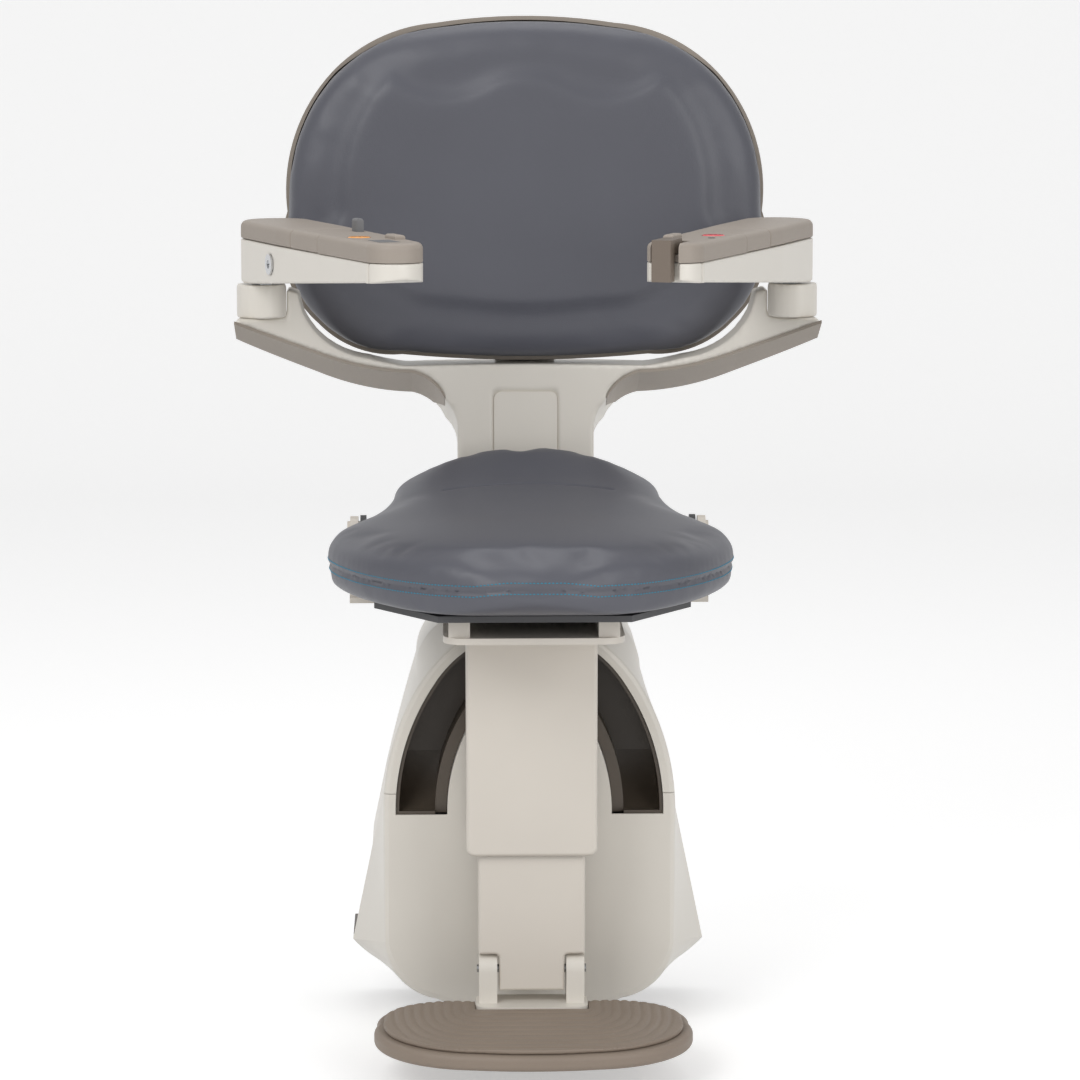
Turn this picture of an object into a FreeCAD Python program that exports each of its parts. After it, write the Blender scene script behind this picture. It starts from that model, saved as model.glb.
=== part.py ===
import FreeCAD, Part
import math
import os
import Sketcher
from FreeCAD import Placement, Rotation, Vector

# Stairlift chair. The origin is on the axis of the rail tube, in the middle of the carriage's
# guide shoe. The rail runs along X, the chair looks towards -Y and +Z is up. Millimetres.

doc = FreeCAD.newDocument("StairliftChair")
sheet = doc.addObject("Spreadsheet::Sheet", "Sizes")
sheet_row = [0]
nodes = []


def size(**values):
    """Write named sizes into the sheet, one row each."""
    for alias, value in values.items():
        sheet_row[0] += 1
        cell = "A%d" % sheet_row[0]
        sheet.set(cell, repr(float(value)))
        sheet.setAlias(cell, alias)
    doc.recompute()


def read(alias):
    """The number that the sheet holds under this name."""
    return float(getattr(sheet, alias))


def bound(expression):
    """Turn #name into a reference to the sheet."""
    return str(expression).replace("#", "<<Sizes>>.")


def number(expression):
    """The value of an expression of #names, for picking edges and starting sketches."""
    return float(sheet.evalExpression(bound(expression).replace("<<Sizes>>.", "")))


def node(part, name):
    """Name a finished sub-part."""
    part.Label = name
    nodes.append(part)
    return part


def box(x0, x1, y0, y1, z0, z1, name="Block"):
    """A block between two corners, all six bound to the sheet."""
    part = doc.addObject("Part::Box", name)
    for side, low, high in (("Length", x0, x1), ("Width", y0, y1), ("Height", z0, z1)):
        part.setExpression(side, bound("(%s) - (%s)" % (high, low)))
    for place, low in (("x", x0), ("y", y0), ("z", z0)):
        part.setExpression("Placement.Base." + place, bound(low))
    return part


TURNS = {
    "x": Rotation(Vector(0, 1, 0), 90),
    "y": Rotation(Vector(1, 0, 0), -90),
    "z": Rotation(),
}


def rod(axis, x, y, z, radius, length, name="Rod"):
    """A cylinder that starts at x, y, z and runs along +axis."""
    part = doc.addObject("Part::Cylinder", name)
    part.Placement = Placement(Vector(), TURNS[axis])
    part.setExpression("Radius", bound(radius))
    part.setExpression("Height", bound(length))
    for place, value in (("x", x), ("y", y), ("z", z)):
        part.setExpression("Placement.Base." + place, bound(value))
    return part


def fused(*parts, name="Joined"):
    """Parts joined into one solid, or kept together as a group of separate solids."""
    part = doc.addObject("Part::MultiFuse", name)
    part.Shapes = list(parts)
    part.Refine = True
    return part


def cut(base, *tools, name="Cut"):
    """The base with each tool taken away."""
    for tool in tools:
        part = doc.addObject("Part::Cut", name)
        part.Base = base
        part.Tool = tool
        part.Refine = True
        base = part
    return base


def plane_of(body, role):
    return [item for item in body.Origin.OriginFeatures if item.Role == role][0]


def outline(body, role, corners, offset="0", name="Outline"):
    """A closed straight-sided sketch whose every corner is bound to the sheet."""
    sketch = body.newObject("Sketcher::SketchObject", name)
    sketch.AttachmentSupport = (plane_of(body, role), [""])
    sketch.MapMode = "FlatFace"
    sketch.setExpression("AttachmentOffset.Base.z", bound(offset))
    values = [(number(across), number(along)) for across, along in corners]
    count = len(corners)
    for index in range(count):
        start = Vector(values[index][0], values[index][1], 0)
        end = Vector(values[(index + 1) % count][0], values[(index + 1) % count][1], 0)
        sketch.addGeometry(Part.LineSegment(start, end), False)
    for index in range(count):
        following = (index + 1) % count
        sketch.addConstraint(Sketcher.Constraint("Coincident", index, 2, following, 1))
    for index, corner in enumerate(corners):
        for kind, axis, part in (("DistanceX", -2, 0), ("DistanceY", -1, 1)):
            if abs(values[index][part]) < 1e-9:
                sketch.addConstraint(Sketcher.Constraint("PointOnObject", index, 1, axis))
                continue
            constraint = Sketcher.Constraint(kind, index, 1, values[index][part])
            label = "corner%d%s" % (index, "xy"[part])
            sketch.renameConstraint(sketch.addConstraint(constraint), label)
            sketch.setExpression("Constraints." + label, bound(corner[part]))
    return sketch


def rounded(body, feature, points, radius, along, name="Rounding"):
    """Fillet the edges that run along one axis through the given points of the outline."""
    doc.recompute()
    picked = []
    for index, edge in enumerate(feature.Shape.Edges):
        if not isinstance(edge.Curve, Part.Line):
            continue
        middle = edge.CenterOfMass
        direction = edge.Curve.Direction
        if abs(abs(direction.dot(along)) - 1) > 1e-6:
            continue
        flat = [middle[i] for i in range(3) if abs(along[i]) < 0.5]
        for across, up in points:
            if abs(flat[0] - number(across)) < 0.01 and abs(flat[1] - number(up)) < 0.01:
                picked.append("Edge%d" % (index + 1))
    fillet = body.newObject("PartDesign::Fillet", name)
    fillet.Base = (feature, picked)
    fillet.setExpression("Radius", bound(radius))
    body.Tip = fillet
    return fillet


ROLE = {"x": "YZ_Plane", "y": "XZ_Plane", "z": "XY_Plane"}
ALONG = {"x": Vector(1, 0, 0), "y": Vector(0, 1, 0), "z": Vector(0, 0, 1)}


def slab(label, axis, corners, start, end, rounds=(), holes=(), cuts=()):
    """A body padded along one axis from an outline, with rounded corners, holes and cut-outs.

    start and end are positions along +axis. rounds are (points, radius) pairs, holes are
    (across, up, radius) and cuts are lists of corners.
    """
    body = doc.addObject("PartDesign::Body", label)
    # The XZ plane's normal is -Y, so positions along Y change sign there.
    flip = axis == "y"
    base = "-(%s)" % end if flip else start
    sketch = outline(body, ROLE[axis], corners, base, label + "_outline")
    pad = body.newObject("PartDesign::Pad", label + "_pad")
    pad.Profile = sketch
    pad.setExpression("Length", bound("(%s) - (%s)" % (end, start)))
    body.Tip = pad
    last = pad
    for points, radius in rounds:
        last = rounded(body, last, points, radius, ALONG[axis], label + "_rounding")
    top = "-(%s)" % start if flip else end
    for corners_cut in cuts:
        opening = outline(body, ROLE[axis], corners_cut, top, label + "_cutout")
        last = pocket(body, opening, "(%s) - (%s)" % (end, start))
    for across, up, radius in holes:
        ring = body.newObject("Sketcher::SketchObject", label + "_hole")
        ring.AttachmentSupport = (plane_of(body, ROLE[axis]), [""])
        ring.MapMode = "FlatFace"
        ring.setExpression("AttachmentOffset.Base.z", bound(top))
        centre = Vector(number(across), number(up), 0)
        ring.addGeometry(Part.Circle(centre, Vector(0, 0, 1), number(radius)), False)
        for kind, value, word, flat_axis in (("DistanceX", across, "across", -2),
                                             ("DistanceY", up, "up", -1)):
            if abs(number(value)) < 1e-9:
                ring.addConstraint(Sketcher.Constraint("PointOnObject", 0, 3, flat_axis))
                continue
            limit = Sketcher.Constraint(kind, 0, 3, number(value))
            ring.renameConstraint(ring.addConstraint(limit), word)
            ring.setExpression("Constraints." + word, bound(value))
        limit = Sketcher.Constraint("Radius", 0, number(radius))
        ring.renameConstraint(ring.addConstraint(limit), "radius")
        ring.setExpression("Constraints.radius", bound(radius))
        last = pocket(body, ring, "(%s) - (%s)" % (end, start))
    return body


def pocket(body, sketch, depth):
    """Cut a sketch straight back through what lies behind it."""
    feature = body.newObject("PartDesign::Pocket", sketch.Name + "_pocket")
    feature.Profile = sketch
    feature.setExpression("Length", bound(depth))
    body.Tip = feature
    return feature


def shaped(name, shape, placement=None):
    """A sub-part whose moulded form is worked out here from the sheet's sizes."""
    part = doc.addObject("Part::Feature", name)
    part.Shape = shape
    if placement:
        part.Placement = placement
    return node(part, name)


def arc(start, through, end):
    return Part.Arc(start, through, end).toShape()


def line(start, end):
    return Part.LineSegment(start, end).toShape()


def loft(wires, ruled=False):
    return Part.makeLoft(wires, True, ruled)


def block(x0, x1, y0, y1, z0, z1):
    return Part.makeBox(x1 - x0, y1 - y0, z1 - z0, Vector(x0, y0, z0))


def drum(x, y, z, radius, length, direction):
    return Part.makeCylinder(radius, length, Vector(x, y, z), direction)


# Carriage: rail guide, rollers and chassis
size(rail_radius=40, guide_clearance=0.4, guide_wall=8, guide_half=75, guide_turn=135,
     guide_foot=18, chassis_back=-54, chassis_wall=6, chassis_half=128, chassis_top=235,
     chassis_low=80, chassis_neck=78, chassis_foot=112,
     roller_gap=0.3, roller_waist=14, roller_rim=19.3, roller_half=20, roller_across=110,
     axle_radius=6, axle_fit=0.05, axle_cap=4, axle_shoulder=10, side_play=0.3)
chassis_front = "(#chassis_back - #chassis_wall)"
roller_height = "(#rail_radius + #roller_gap + #roller_waist)"
guide_bore = "(#rail_radius + #guide_clearance)"

sector = rod("x", "-#guide_half", 0, 0, guide_bore + " + #guide_wall", "2 * #guide_half", "GuideOuter")
sector.Angle = 180
sector.Placement.Rotation = Rotation(Vector(1, 0, 0), read("guide_turn")).multiply(TURNS["x"])
foot = box("-#guide_half", "#guide_half", "#chassis_back", "#guide_wall * -5.5", "-#guide_foot",
           "#guide_foot", "GuideFoot")
bore = rod("x", "-#guide_half - 1", 0, 0, guide_bore, "2 * #guide_half + 2", "GuideBore")
node(cut(fused(sector, foot, name="GuideSolid"), bore, name="GuideShoe"), "rail_guide_shoe")

axles = []
for level, sign_up in (("upper", ""), ("lower", "-")):
    for side, sign_across in (("left", "-"), ("right", "")):
        across = sign_across + "#roller_across"
        up = sign_up + roller_height
        wheel = rod("y", across, "-#roller_half", up, "#roller_rim", "2 * #roller_half", "Wheel")
        waist = doc.addObject("Part::Torus", "Waist")
        waist.Placement = Placement(Vector(), TURNS["y"])
        waist.setExpression("Radius1", bound(roller_height))
        waist.setExpression("Radius2", bound("#rail_radius + #roller_gap"))
        waist.setExpression("Placement.Base.x", bound(across))
        waist.setExpression("Placement.Base.z", bound(up))
        hole = rod("y", across, "-#roller_half - 1", up, "#axle_radius + #axle_fit",
                   "2 * #roller_half + 2", "WheelBore")
        node(cut(wheel, waist, hole, name="Roller"), "%s_%s_roller" % (level, side))
        pin = rod("y", across, chassis_front, up, "#axle_radius",
                  "#roller_half + #side_play + #axle_cap - " + chassis_front, "AxlePin")
        shoulder = rod("y", across, "#chassis_back", up, "#axle_shoulder",
                       "-#roller_half - #side_play - #chassis_back", "AxleShoulder")
        cap = rod("y", across, "#roller_half + #side_play", up, "#axle_shoulder", "#axle_cap", "AxleCap")
        axles.append(fused(pin, shoulder, cap, name="Axle"))
node(fused(*axles, name="Axles"), "roller_axles")

# Carriage: drives. The drive pinion climbs the rack under the rail. The levelling motor
# turns a small pinion on the gear of the column's shaft.
size(level_height=95, shaft_radius=15, shaft_fit=0.05, bush_radius=26, bush_flange=34, bush_lip=6,
     gear_module=2, gear_teeth=48, pinion_teeth=12, gear_front=-90, gear_width=10, tooth_play=0.25,
     mesh_angle=-22.5, level_motor_radius=20, level_motor_length=92, pinion_shaft=4,
     pinion_shaft_length=46, drive_module=3.6, drive_teeth=12, drive_height=67, drive_face=15,
     drive_shaft=8, drive_shaft_end=18, gearbox_half=42, gearbox_front=-120, gearbox_top=-6,
     gearbox_low=-104, gearbox_corner=8, motor_across=80, motor_radius=28, motor_depth=-92,
     motor_height=-35, motor_cap=8)
mesh_distance = "(#gear_module * (#gear_teeth + #pinion_teeth) / 2)"
pinion_across = "(%s * cos(#mesh_angle * 1 deg))" % mesh_distance
pinion_up = "(#level_height + %s * sin(#mesh_angle * 1 deg))" % mesh_distance


def toothed(centre_x, centre_z, module, teeth, phase, y_front, width, bore_radius, play):
    """A spur gear with straight-flanked teeth, in the XZ plane, one tooth at the phase angle."""
    pitch = module * teeth / 2.0
    half_pitch = math.pi * module / 4 - play
    lean = math.tan(math.radians(20))
    rim = ((-1.15, -1), (0.8, -1), (0.8, 1), (-1.15, 1))
    corners = []
    for index in range(int(teeth)):
        turn = phase + index * 2 * math.pi / teeth
        for lift, side in rim:
            reach = pitch + lift * module
            spread = (half_pitch - lift * module * lean) / reach * side
            angle = turn + spread
            corners.append(Vector(centre_x + reach * math.cos(angle), y_front,
                                  centre_z + reach * math.sin(angle)))
    corners.append(corners[0])
    disc = Part.Face(Part.makePolygon(corners)).extrude(Vector(0, width, 0))
    if bore_radius:
        disc = disc.cut(drum(centre_x, y_front - 1, centre_z, bore_radius, width + 2, Vector(0, 1, 0)))
    return disc


mesh_turn = math.radians(read("mesh_angle"))
small_x, small_z = number(pinion_across), number(pinion_up)
small = toothed(small_x, small_z, read("gear_module"), read("pinion_teeth"),
                mesh_turn + math.pi + math.pi / read("pinion_teeth"), read("gear_front") - 1,
                read("gear_width") + 2, 0, read("tooth_play"))
stem = drum(small_x, read("gear_front"), small_z, read("pinion_shaft"),
            read("pinion_shaft_length"), Vector(0, 1, 0))
shaped("levelling_pinion", small.fuse(stem))
shaped("levelling_gear", toothed(0, read("level_height"), read("gear_module"), read("gear_teeth"),
                                 mesh_turn, read("gear_front"), read("gear_width"),
                                 read("shaft_radius") + read("shaft_fit"), read("tooth_play")))
drive_wheel = toothed(0, -read("drive_height"), read("drive_module"), read("drive_teeth"), math.pi / 2,
                      -read("drive_face"), 2 * read("drive_face"), 0, read("tooth_play"))
drive_stem = drum(0, read("gearbox_front") + 22, -read("drive_height"), read("drive_shaft"),
                  read("drive_shaft_end") - read("gearbox_front") - 22, Vector(0, 1, 0))
shaped("drive_pinion", drive_wheel.fuse(drive_stem))

bush = fused(rod("y", 0, chassis_front, "#level_height", "#bush_radius", "#chassis_wall", "BushBarrel"),
             rod("y", 0, chassis_front + " - #bush_lip", "#level_height", "#bush_flange",
                 "#bush_lip", "BushFlange"), name="BushSolid")
bush = cut(bush, rod("y", 0, chassis_front + " - #bush_lip - 1", "#level_height",
                     "#shaft_radius + #shaft_fit", "#chassis_wall + #bush_lip + 2", "BushBore"),
           name="Bush")
level_motor = rod("y", pinion_across, "#chassis_back", pinion_up, "#level_motor_radius",
                  "#level_motor_length", "LevelMotor")
node(cut(level_motor, rod("y", pinion_across, "#chassis_back - 1", pinion_up,
                          "#pinion_shaft + #shaft_fit", 15, "LevelMotorBore"), name="LevelMotorBored"),
     "levelling_motor")

gearbox = slab("gearbox_body", "x",
               [("#gearbox_front", "#gearbox_low + #gearbox_corner"),
                ("#gearbox_front + #gearbox_corner", "#gearbox_low"), (chassis_front, "#gearbox_low"),
                (chassis_front, "#gearbox_top"), ("#gearbox_front + #gearbox_corner", "#gearbox_top"),
                ("#gearbox_front", "#gearbox_top - #gearbox_corner")],
               "-#gearbox_half", "#gearbox_half")
node(cut(gearbox, rod("y", 0, "#gearbox_front + 21", "-#drive_height", "#drive_shaft + #shaft_fit",
                      "%s - #gearbox_front - 20" % chassis_front, "GearboxBore"), name="Gearbox"),
     "drive_gearbox")
node(fused(rod("x", "-#gearbox_half - #motor_across", "#motor_depth", "#motor_height", "#motor_radius",
               "#motor_across", "MotorCan"),
           rod("x", "-#gearbox_half - #motor_across - #motor_cap", "#motor_depth", "#motor_height",
               "#motor_radius * 0.8", "#motor_cap", "MotorCap"), name="Motor"), "drive_motor")

chassis = slab("chassis_body", "y",
          [("-#chassis_foot", "-#chassis_low"), ("#chassis_foot", "-#chassis_low"),
           ("#chassis_half", "-#chassis_low + 20"), ("#chassis_half", "#chassis_low"),
           ("#chassis_neck", "#chassis_low + 30"), ("#chassis_neck", "#chassis_top"),
           ("-#chassis_neck", "#chassis_top"), ("-#chassis_neck", "#chassis_low + 30"),
           ("-#chassis_half", "#chassis_low"), ("-#chassis_half", "-#chassis_low + 20")],
          chassis_front, "#chassis_back",
          holes=[("-#roller_across", roller_height, "#axle_radius + #axle_fit"),
                 ("#roller_across", roller_height, "#axle_radius + #axle_fit"),
                 ("-#roller_across", "-" + roller_height, "#axle_radius + #axle_fit"),
                 ("#roller_across", "-" + roller_height, "#axle_radius + #axle_fit"),
                 ("0", "#level_height", "#bush_radius"),
                 ("0", "-#drive_height", "#drive_shaft + 0.5"),
                 (pinion_across, pinion_up, "#pinion_shaft + 0.5")])

# Carriage: batteries, their tray and the control board
size(tray_height=122, tray_wall=3, tray_half=100, tray_depth=84, tray_lip=28, battery_width=90,
     battery_depth=70, battery_tall=101, battery_gap=4, board_depth=46, board_wall=1.6,
     board_half=70, board_low=130, board_tall=85, relay_tall=12, post_radius=3,
     cover_wall=3, housing_back=60)
tray = slab("tray_body", "x",
          [("#chassis_back", "#tray_height"), ("#chassis_back + #tray_depth", "#tray_height"),
           ("#chassis_back + #tray_depth", "#tray_height + #tray_wall"),
           ("#chassis_back + #tray_wall", "#tray_height + #tray_wall"),
           ("#chassis_back + #tray_wall", "#tray_height + #tray_lip"),
           ("#chassis_back", "#tray_height + #tray_lip")], "-#tray_half", "#tray_half")
battery_back = "#chassis_back + #tray_wall + 2 * #side_play"
battery_foot = "#tray_height + #tray_wall + #side_play"
packs = []
for side, near, far in (("left", "-#battery_gap - #battery_width", "-#battery_gap"),
                        ("right", "#battery_gap", "#battery_gap + #battery_width")):
    pack = box(near, far, battery_back, battery_back + " + #battery_depth", battery_foot,
               battery_foot + " + #battery_tall - 7", "BatteryCase")
    lid = box(near + " + 2", far + " - 2", battery_back + " + 2", battery_back + " + #battery_depth - 2",
              battery_foot + " + #battery_tall - 7", battery_foot + " + #battery_tall", "BatteryLid")
    packs.append(fused(pack, lid, name="Battery"))
node(fused(*packs, name="Batteries"), "battery_packs")
board = box("-#board_half", "#board_half", "#board_depth", "#board_depth + #board_wall", "#board_low",
            "#board_low + #board_tall", "Board")
relays = []
for place in (-48, -20, 8, 36):
    relays.append(box(place, "%d + 20" % place, "#board_depth - #relay_tall", "#board_depth",
                      "#board_low + 30", "#board_low + 48", "Relay"))
posts = []
for across in ("-#board_half + 6", "#board_half - 6"):
    for up in ("#board_low + 6", "#board_low + #board_tall - 6"):
        posts.append(rod("y", across, "#board_depth + #board_wall", up, "#post_radius",
                         "#housing_back - #cover_wall - #board_depth - #board_wall", "BoardPost"))
node(fused(board, *relays, *posts, name="ControlBoard"), "control_board")

# Carriage covers. The front panel is narrower than the back, so the sides flare backwards.
size(housing_front=-130, flare_depth=-52, split_height=116, seam_gap=0.6,
     front_half=144, front_top=292, front_low=-120, front_corner_low=-34,
     back_half=142, back_shoulder=112, back_shoulder_height=228, back_top=295,
     back_low=-122, back_side=176, back_side_height=-48, back_keel=99, lip_height=9,
     arch_half=132, arch_rise=185, tongue_half=81, tongue_rise=130, arch_foot=95,
     channel_half=48, channel_front=-48, lip_front=-30, liner_depth=64, liner_ridge=12,
     liner_ridge_front=-118, cover_edge=5)
size(standoff_radius=5, standoff_high=60, standoff_high_across=118, standoff_low=70,
     standoff_low_across=100)
props = []
for across, up in (("-#standoff_high_across", "#standoff_high"),
                   ("#standoff_high_across", "#standoff_high"),
                   ("-#standoff_low_across", "-#standoff_low"),
                   ("#standoff_low_across", "-#standoff_low")):
    props.append(rod("y", across, "#housing_front + #cover_wall + #side_play", up, "#standoff_radius",
                     "%s - #housing_front - #cover_wall - #side_play" % chassis_front, "Standoff"))
node(fused(chassis, bush, tray, *props, name="Chassis"), "chassis_plate")


def chain(points, y):
    """Edges through (kind, x, z...) steps on the plane y. A mid-point makes an arc."""
    edges = []
    here = Vector(points[0][0], y, points[0][1])
    for step in points[1:]:
        end = Vector(step[-2], y, step[-1])
        if len(step) == 4:
            edges.append(arc(here, Vector(step[0], y, step[1]), end))
        else:
            edges.append(line(here, end))
        here = end
    return Part.Wire(edges)


def closed_chain(right_side, y):
    """A closed outline from its right half, which runs from the keel's end up to the crown.

    The first entry is the bottom's centre, the last one the top's centre.
    """
    bottom, first = right_side[0], right_side[1]
    steps = [(-first[-2], first[-1]), (bottom[0], bottom[1], first[-2], first[-1])]
    steps += list(right_side[2:-1])
    crown = right_side[-1]
    last = right_side[-2]
    steps.append((crown[0], crown[1], -last[-2], last[-1]))
    half = list(right_side[1:-1])
    for index in range(len(half) - 1, 0, -1):
        step, before = half[index], half[index - 1]
        if len(step) == 4:
            steps.append((-step[0], step[1], -before[-2], before[-1]))
        else:
            steps.append((-before[-2], before[-1]))
    return chain(steps, y)


def ellipse_point(half, rise, foot, degrees):
    turn = math.radians(degrees)
    return (half * math.cos(turn), foot + rise * math.sin(turn))


def front_outline(y, inset, lift=0):
    """The front panel: a keel, upright sides and an elliptic crown."""
    half = read("front_half") - inset
    foot = read("arch_foot")
    rise = read("front_top") - foot - inset
    low = read("front_low") + inset + lift
    points = [(0, low), (92 - inset, low + 19),
              (129 - inset, low + 40, half, read("front_corner_low")), (half, foot)]
    for start, end in ((0, 40), (40, 65)):
        points.append(ellipse_point(half, rise, foot, (start + end) / 2)
                      + ellipse_point(half, rise, foot, end))
    points.append((0, foot + rise))
    return closed_chain(points, y)


def back_outline(y, inset, lift=0):
    """The full outline behind the flare."""
    low = read("back_low") + inset + lift
    keel = read("back_keel") - inset - lift * 0.3
    side = read("back_side") - inset
    half = read("back_half") - inset
    shoulder = read("back_shoulder") - inset
    top = read("back_top") - inset
    points = [(0, low), (keel, low + 27 + inset * 0.2),
              (keel + 49, low + 46 - lift * 0.6 + inset * 0.2, side, read("back_side_height")),
              (half, read("split_height")),
              ((half + shoulder) / 2 + 1, (read("split_height") + read("back_shoulder_height")) / 2,
               shoulder, read("back_shoulder_height")),
              (shoulder - 13, top - 31, shoulder - 42, top - 12), (0, top)]
    return closed_chain(points, y)


def housing(inset, lift=0, edge=0):
    """The carriage's outer form, or its hollow with an inset of the wall."""
    front = read("housing_front") + inset
    flare = read("flare_depth")
    sections = [front_outline(front, inset + edge, lift)]
    if edge:
        sections.append(front_outline(front + edge * 0.3, inset + edge * 0.3, lift))
        sections.append(front_outline(front + edge, inset, lift))
    sections.append(back_outline(flare, inset, lift))
    rear = Part.Face(back_outline(flare, inset, lift)).extrude(
        Vector(0, read("housing_back") - flare, 0))
    return loft(sections, True).fuse(rear)


def arch(half, rise, y0, y1):
    """A half-elliptic prism that stands on the arch's foot line."""
    foot = read("arch_foot")
    right = ellipse_point(half, rise, foot, 0)
    points = [right]
    for start in (0, 45, 90, 135):
        points.append(ellipse_point(half, rise, foot, start + 22.5)
                      + ellipse_point(half, rise, foot, start + 45))
    points.append(right)
    return Part.Face(chain(points, y0)).extrude(Vector(0, y1 - y0, 0))


wall = read("cover_wall")
far = 400.0
lip = read("lip_height")
split = read("split_height")
seam = read("seam_gap") / 2
front_y, back_y = read("housing_front"), read("housing_back")
channel = read("channel_half")
foot_z = read("arch_foot")
arch_half, arch_rise = read("arch_half"), read("arch_rise")
tongue_half, tongue_rise = read("tongue_half"), read("tongue_rise")
liner_back = front_y + read("liner_depth")

cream_outer = housing(0, lip, read("cover_edge"))
cream_inner = housing(wall, lip)
shell = cream_outer.cut(cream_inner)
rail_way = block(-far, far, read("channel_front"), far, -channel, channel)
rear_open = block(-far, far, back_y - wall, far, -far, far)
shaft_hole = drum(0, front_y - 5, read("level_height"), read("shaft_radius") + 1.5, 30, Vector(0, 1, 0))

hood = shell.common(block(-far, far, -far, far, split + seam, far))
hood = hood.cut(arch(arch_half, arch_rise, front_y - 1, front_y + 30)).cut(rear_open)
shaped("hood_cover", hood)

lower = shell.common(block(-far, far, -far, far, -far, split - seam)).cut(rail_way).cut(rear_open)
lower = lower.cut(block(-far, far, read("lip_front"), far, -far, -channel + 1))
slot = arch(arch_half, arch_rise, front_y - 1, front_y + 30)
lower = lower.cut(slot)
tongue = arch(tongue_half, tongue_rise, front_y, liner_back - 4)
hollow = arch(tongue_half - wall, tongue_rise - wall, front_y + wall, liner_back)
tongue = tongue.cut(hollow)
front_cover = lower.fuse(tongue).cut(shaft_hole).removeSplitter()
shaped("front_cover", front_cover)

gap = read("seam_gap")
liner = arch(arch_half - gap, arch_rise - gap, front_y + wall + gap, liner_back)
liner = liner.cut(arch(tongue_half + gap, tongue_rise + gap, front_y, far))
ridge = read("liner_ridge")
ring = arch(arch_half - wall - gap, arch_rise - wall - gap, front_y - 5, liner_back - wall)
ring = ring.cut(arch(tongue_half + ridge, tongue_rise + ridge, front_y - 6, far))
floor_z = foot_z + wall
sweep_y, sweep_z = liner_back - wall, foot_z + 75
floor_edges = [line(Vector(0, front_y - 20, floor_z), Vector(0, read("liner_ridge_front"), floor_z)),
               arc(Vector(0, read("liner_ridge_front"), floor_z),
                   Vector(0, (read("liner_ridge_front") + sweep_y) / 2 + 10, floor_z + 20),
                   Vector(0, sweep_y, sweep_z)),
               line(Vector(0, sweep_y, sweep_z), Vector(0, sweep_y, far)),
               line(Vector(0, sweep_y, far), Vector(0, front_y - 20, far)),
               line(Vector(0, front_y - 20, far), Vector(0, front_y - 20, floor_z))]
sweep = Part.Face(Part.Wire(floor_edges)).extrude(Vector(2 * far, 0, 0))
sweep.translate(Vector(-far, 0, 0))
liner = liner.cut(ring.common(sweep))
liner = liner.cut(arch(tongue_half + ridge, tongue_rise + ridge, front_y - 9, read("liner_ridge_front")))
shaped("recess_liner", liner)

dark_outer = housing(0)
dark_inner = housing(wall)
lower_rear = dark_outer.cut(dark_inner).fuse(
    dark_outer.common(block(-far, far, back_y - wall, back_y, -far, far)))
lower_rear = lower_rear.common(block(-far, far, read("lip_front") + gap, far, -far, -channel))
shaped("lower_rear_cover", lower_rear.removeSplitter())

upper_panel = Part.Face(back_outline(back_y - wall, gap, lip)).extrude(Vector(0, wall, 0))
shaped("upper_rear_panel", upper_panel.common(block(-far, far, -far, far, channel, far)))

# Column: it hangs on the levelling shaft and stays upright on a sloping rail
size(column_y=-180, frame_half_x=30, frame_half_y=20, frame_wall=3, frame_low=60, frame_high=285,
     shaft_end=-50, shaft_flange=30, shaft_flange_wall=8, race_radius=31, race_tall=13,
     swivel_pin=12, swivel_pin_drop=36, swivel_gap=0.3,
     upper_half=63, upper_front=-230, upper_back=-145, upper_low=74, upper_high=296,
     upper_corner=8, upper_edge=4, column_wall=3,
     lower_half=51.5, lower_front=-222, lower_back=-155, lower_high=150, ear_notch=-24,
     boot_half=31.5, boot_low=-60, boot_round=14, shaft_slot_half=33, shaft_slot_low=58,
     tube_fit=0.3, tube_low=-20, tube_high=170, bracket_low=215, bracket_tall=25,
     bracket_half=10)
frame_y0, frame_y1 = "#column_y - #frame_half_y", "#column_y + #frame_half_y"
frame = slab("frame_body", "z",
          [("-#frame_half_x", frame_y0), ("#frame_half_x", frame_y0),
           ("#frame_half_x", frame_y1), ("-#frame_half_x", frame_y1)],
          "#frame_low", "#frame_high",
          cuts=[[("-#frame_half_x + #frame_wall", frame_y0 + " + #frame_wall"),
                 ("#frame_half_x - #frame_wall", frame_y0 + " + #frame_wall"),
                 ("#frame_half_x - #frame_wall", frame_y1 + " - #frame_wall"),
                 ("-#frame_half_x + #frame_wall", frame_y1 + " - #frame_wall")]])
node(fused(rod("y", 0, frame_y1, "#level_height", "#shaft_flange", "#shaft_flange_wall", "ShaftFlange"),
           rod("y", 0, frame_y1, "#level_height", "#shaft_radius", "#shaft_end - (%s)" % frame_y1,
               "ShaftBar"), name="Shaft"), "levelling_shaft")
race = cut(rod("z", 0, "#column_y", "#frame_high", "#race_radius", "#race_tall", "RaceOuter"),
           rod("z", 0, "#column_y", "#frame_high - 1", "#swivel_pin + #shaft_fit", "#race_tall + 2",
               "RaceBore"), name="Race")
brackets = []
for near, far_side in (("-#upper_half + #column_wall", "-#frame_half_x"),
                       ("#frame_half_x", "#upper_half - #column_wall")):
    brackets.append(box(near, far_side, "#column_y - #bracket_half", "#column_y + #bracket_half",
                        "#bracket_low", "#bracket_low + #bracket_tall", "CoverBracket"))
node(fused(frame, race, *brackets, name="ColumnFrame"), "column_frame")


def edges_on(feature, test):
    """Names of the edges whose bounding box passes a test."""
    doc.recompute()
    return ["Edge%d" % (index + 1) for index, edge in enumerate(feature.Shape.Edges)
            if test(edge.BoundBox)]


def filleted(body, feature, test, radius, name):
    fillet = body.newObject("PartDesign::Fillet", name)
    fillet.Base = (feature, edges_on(feature, test))
    fillet.setExpression("Radius", bound(radius))
    body.Tip = fillet
    return fillet


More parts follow.
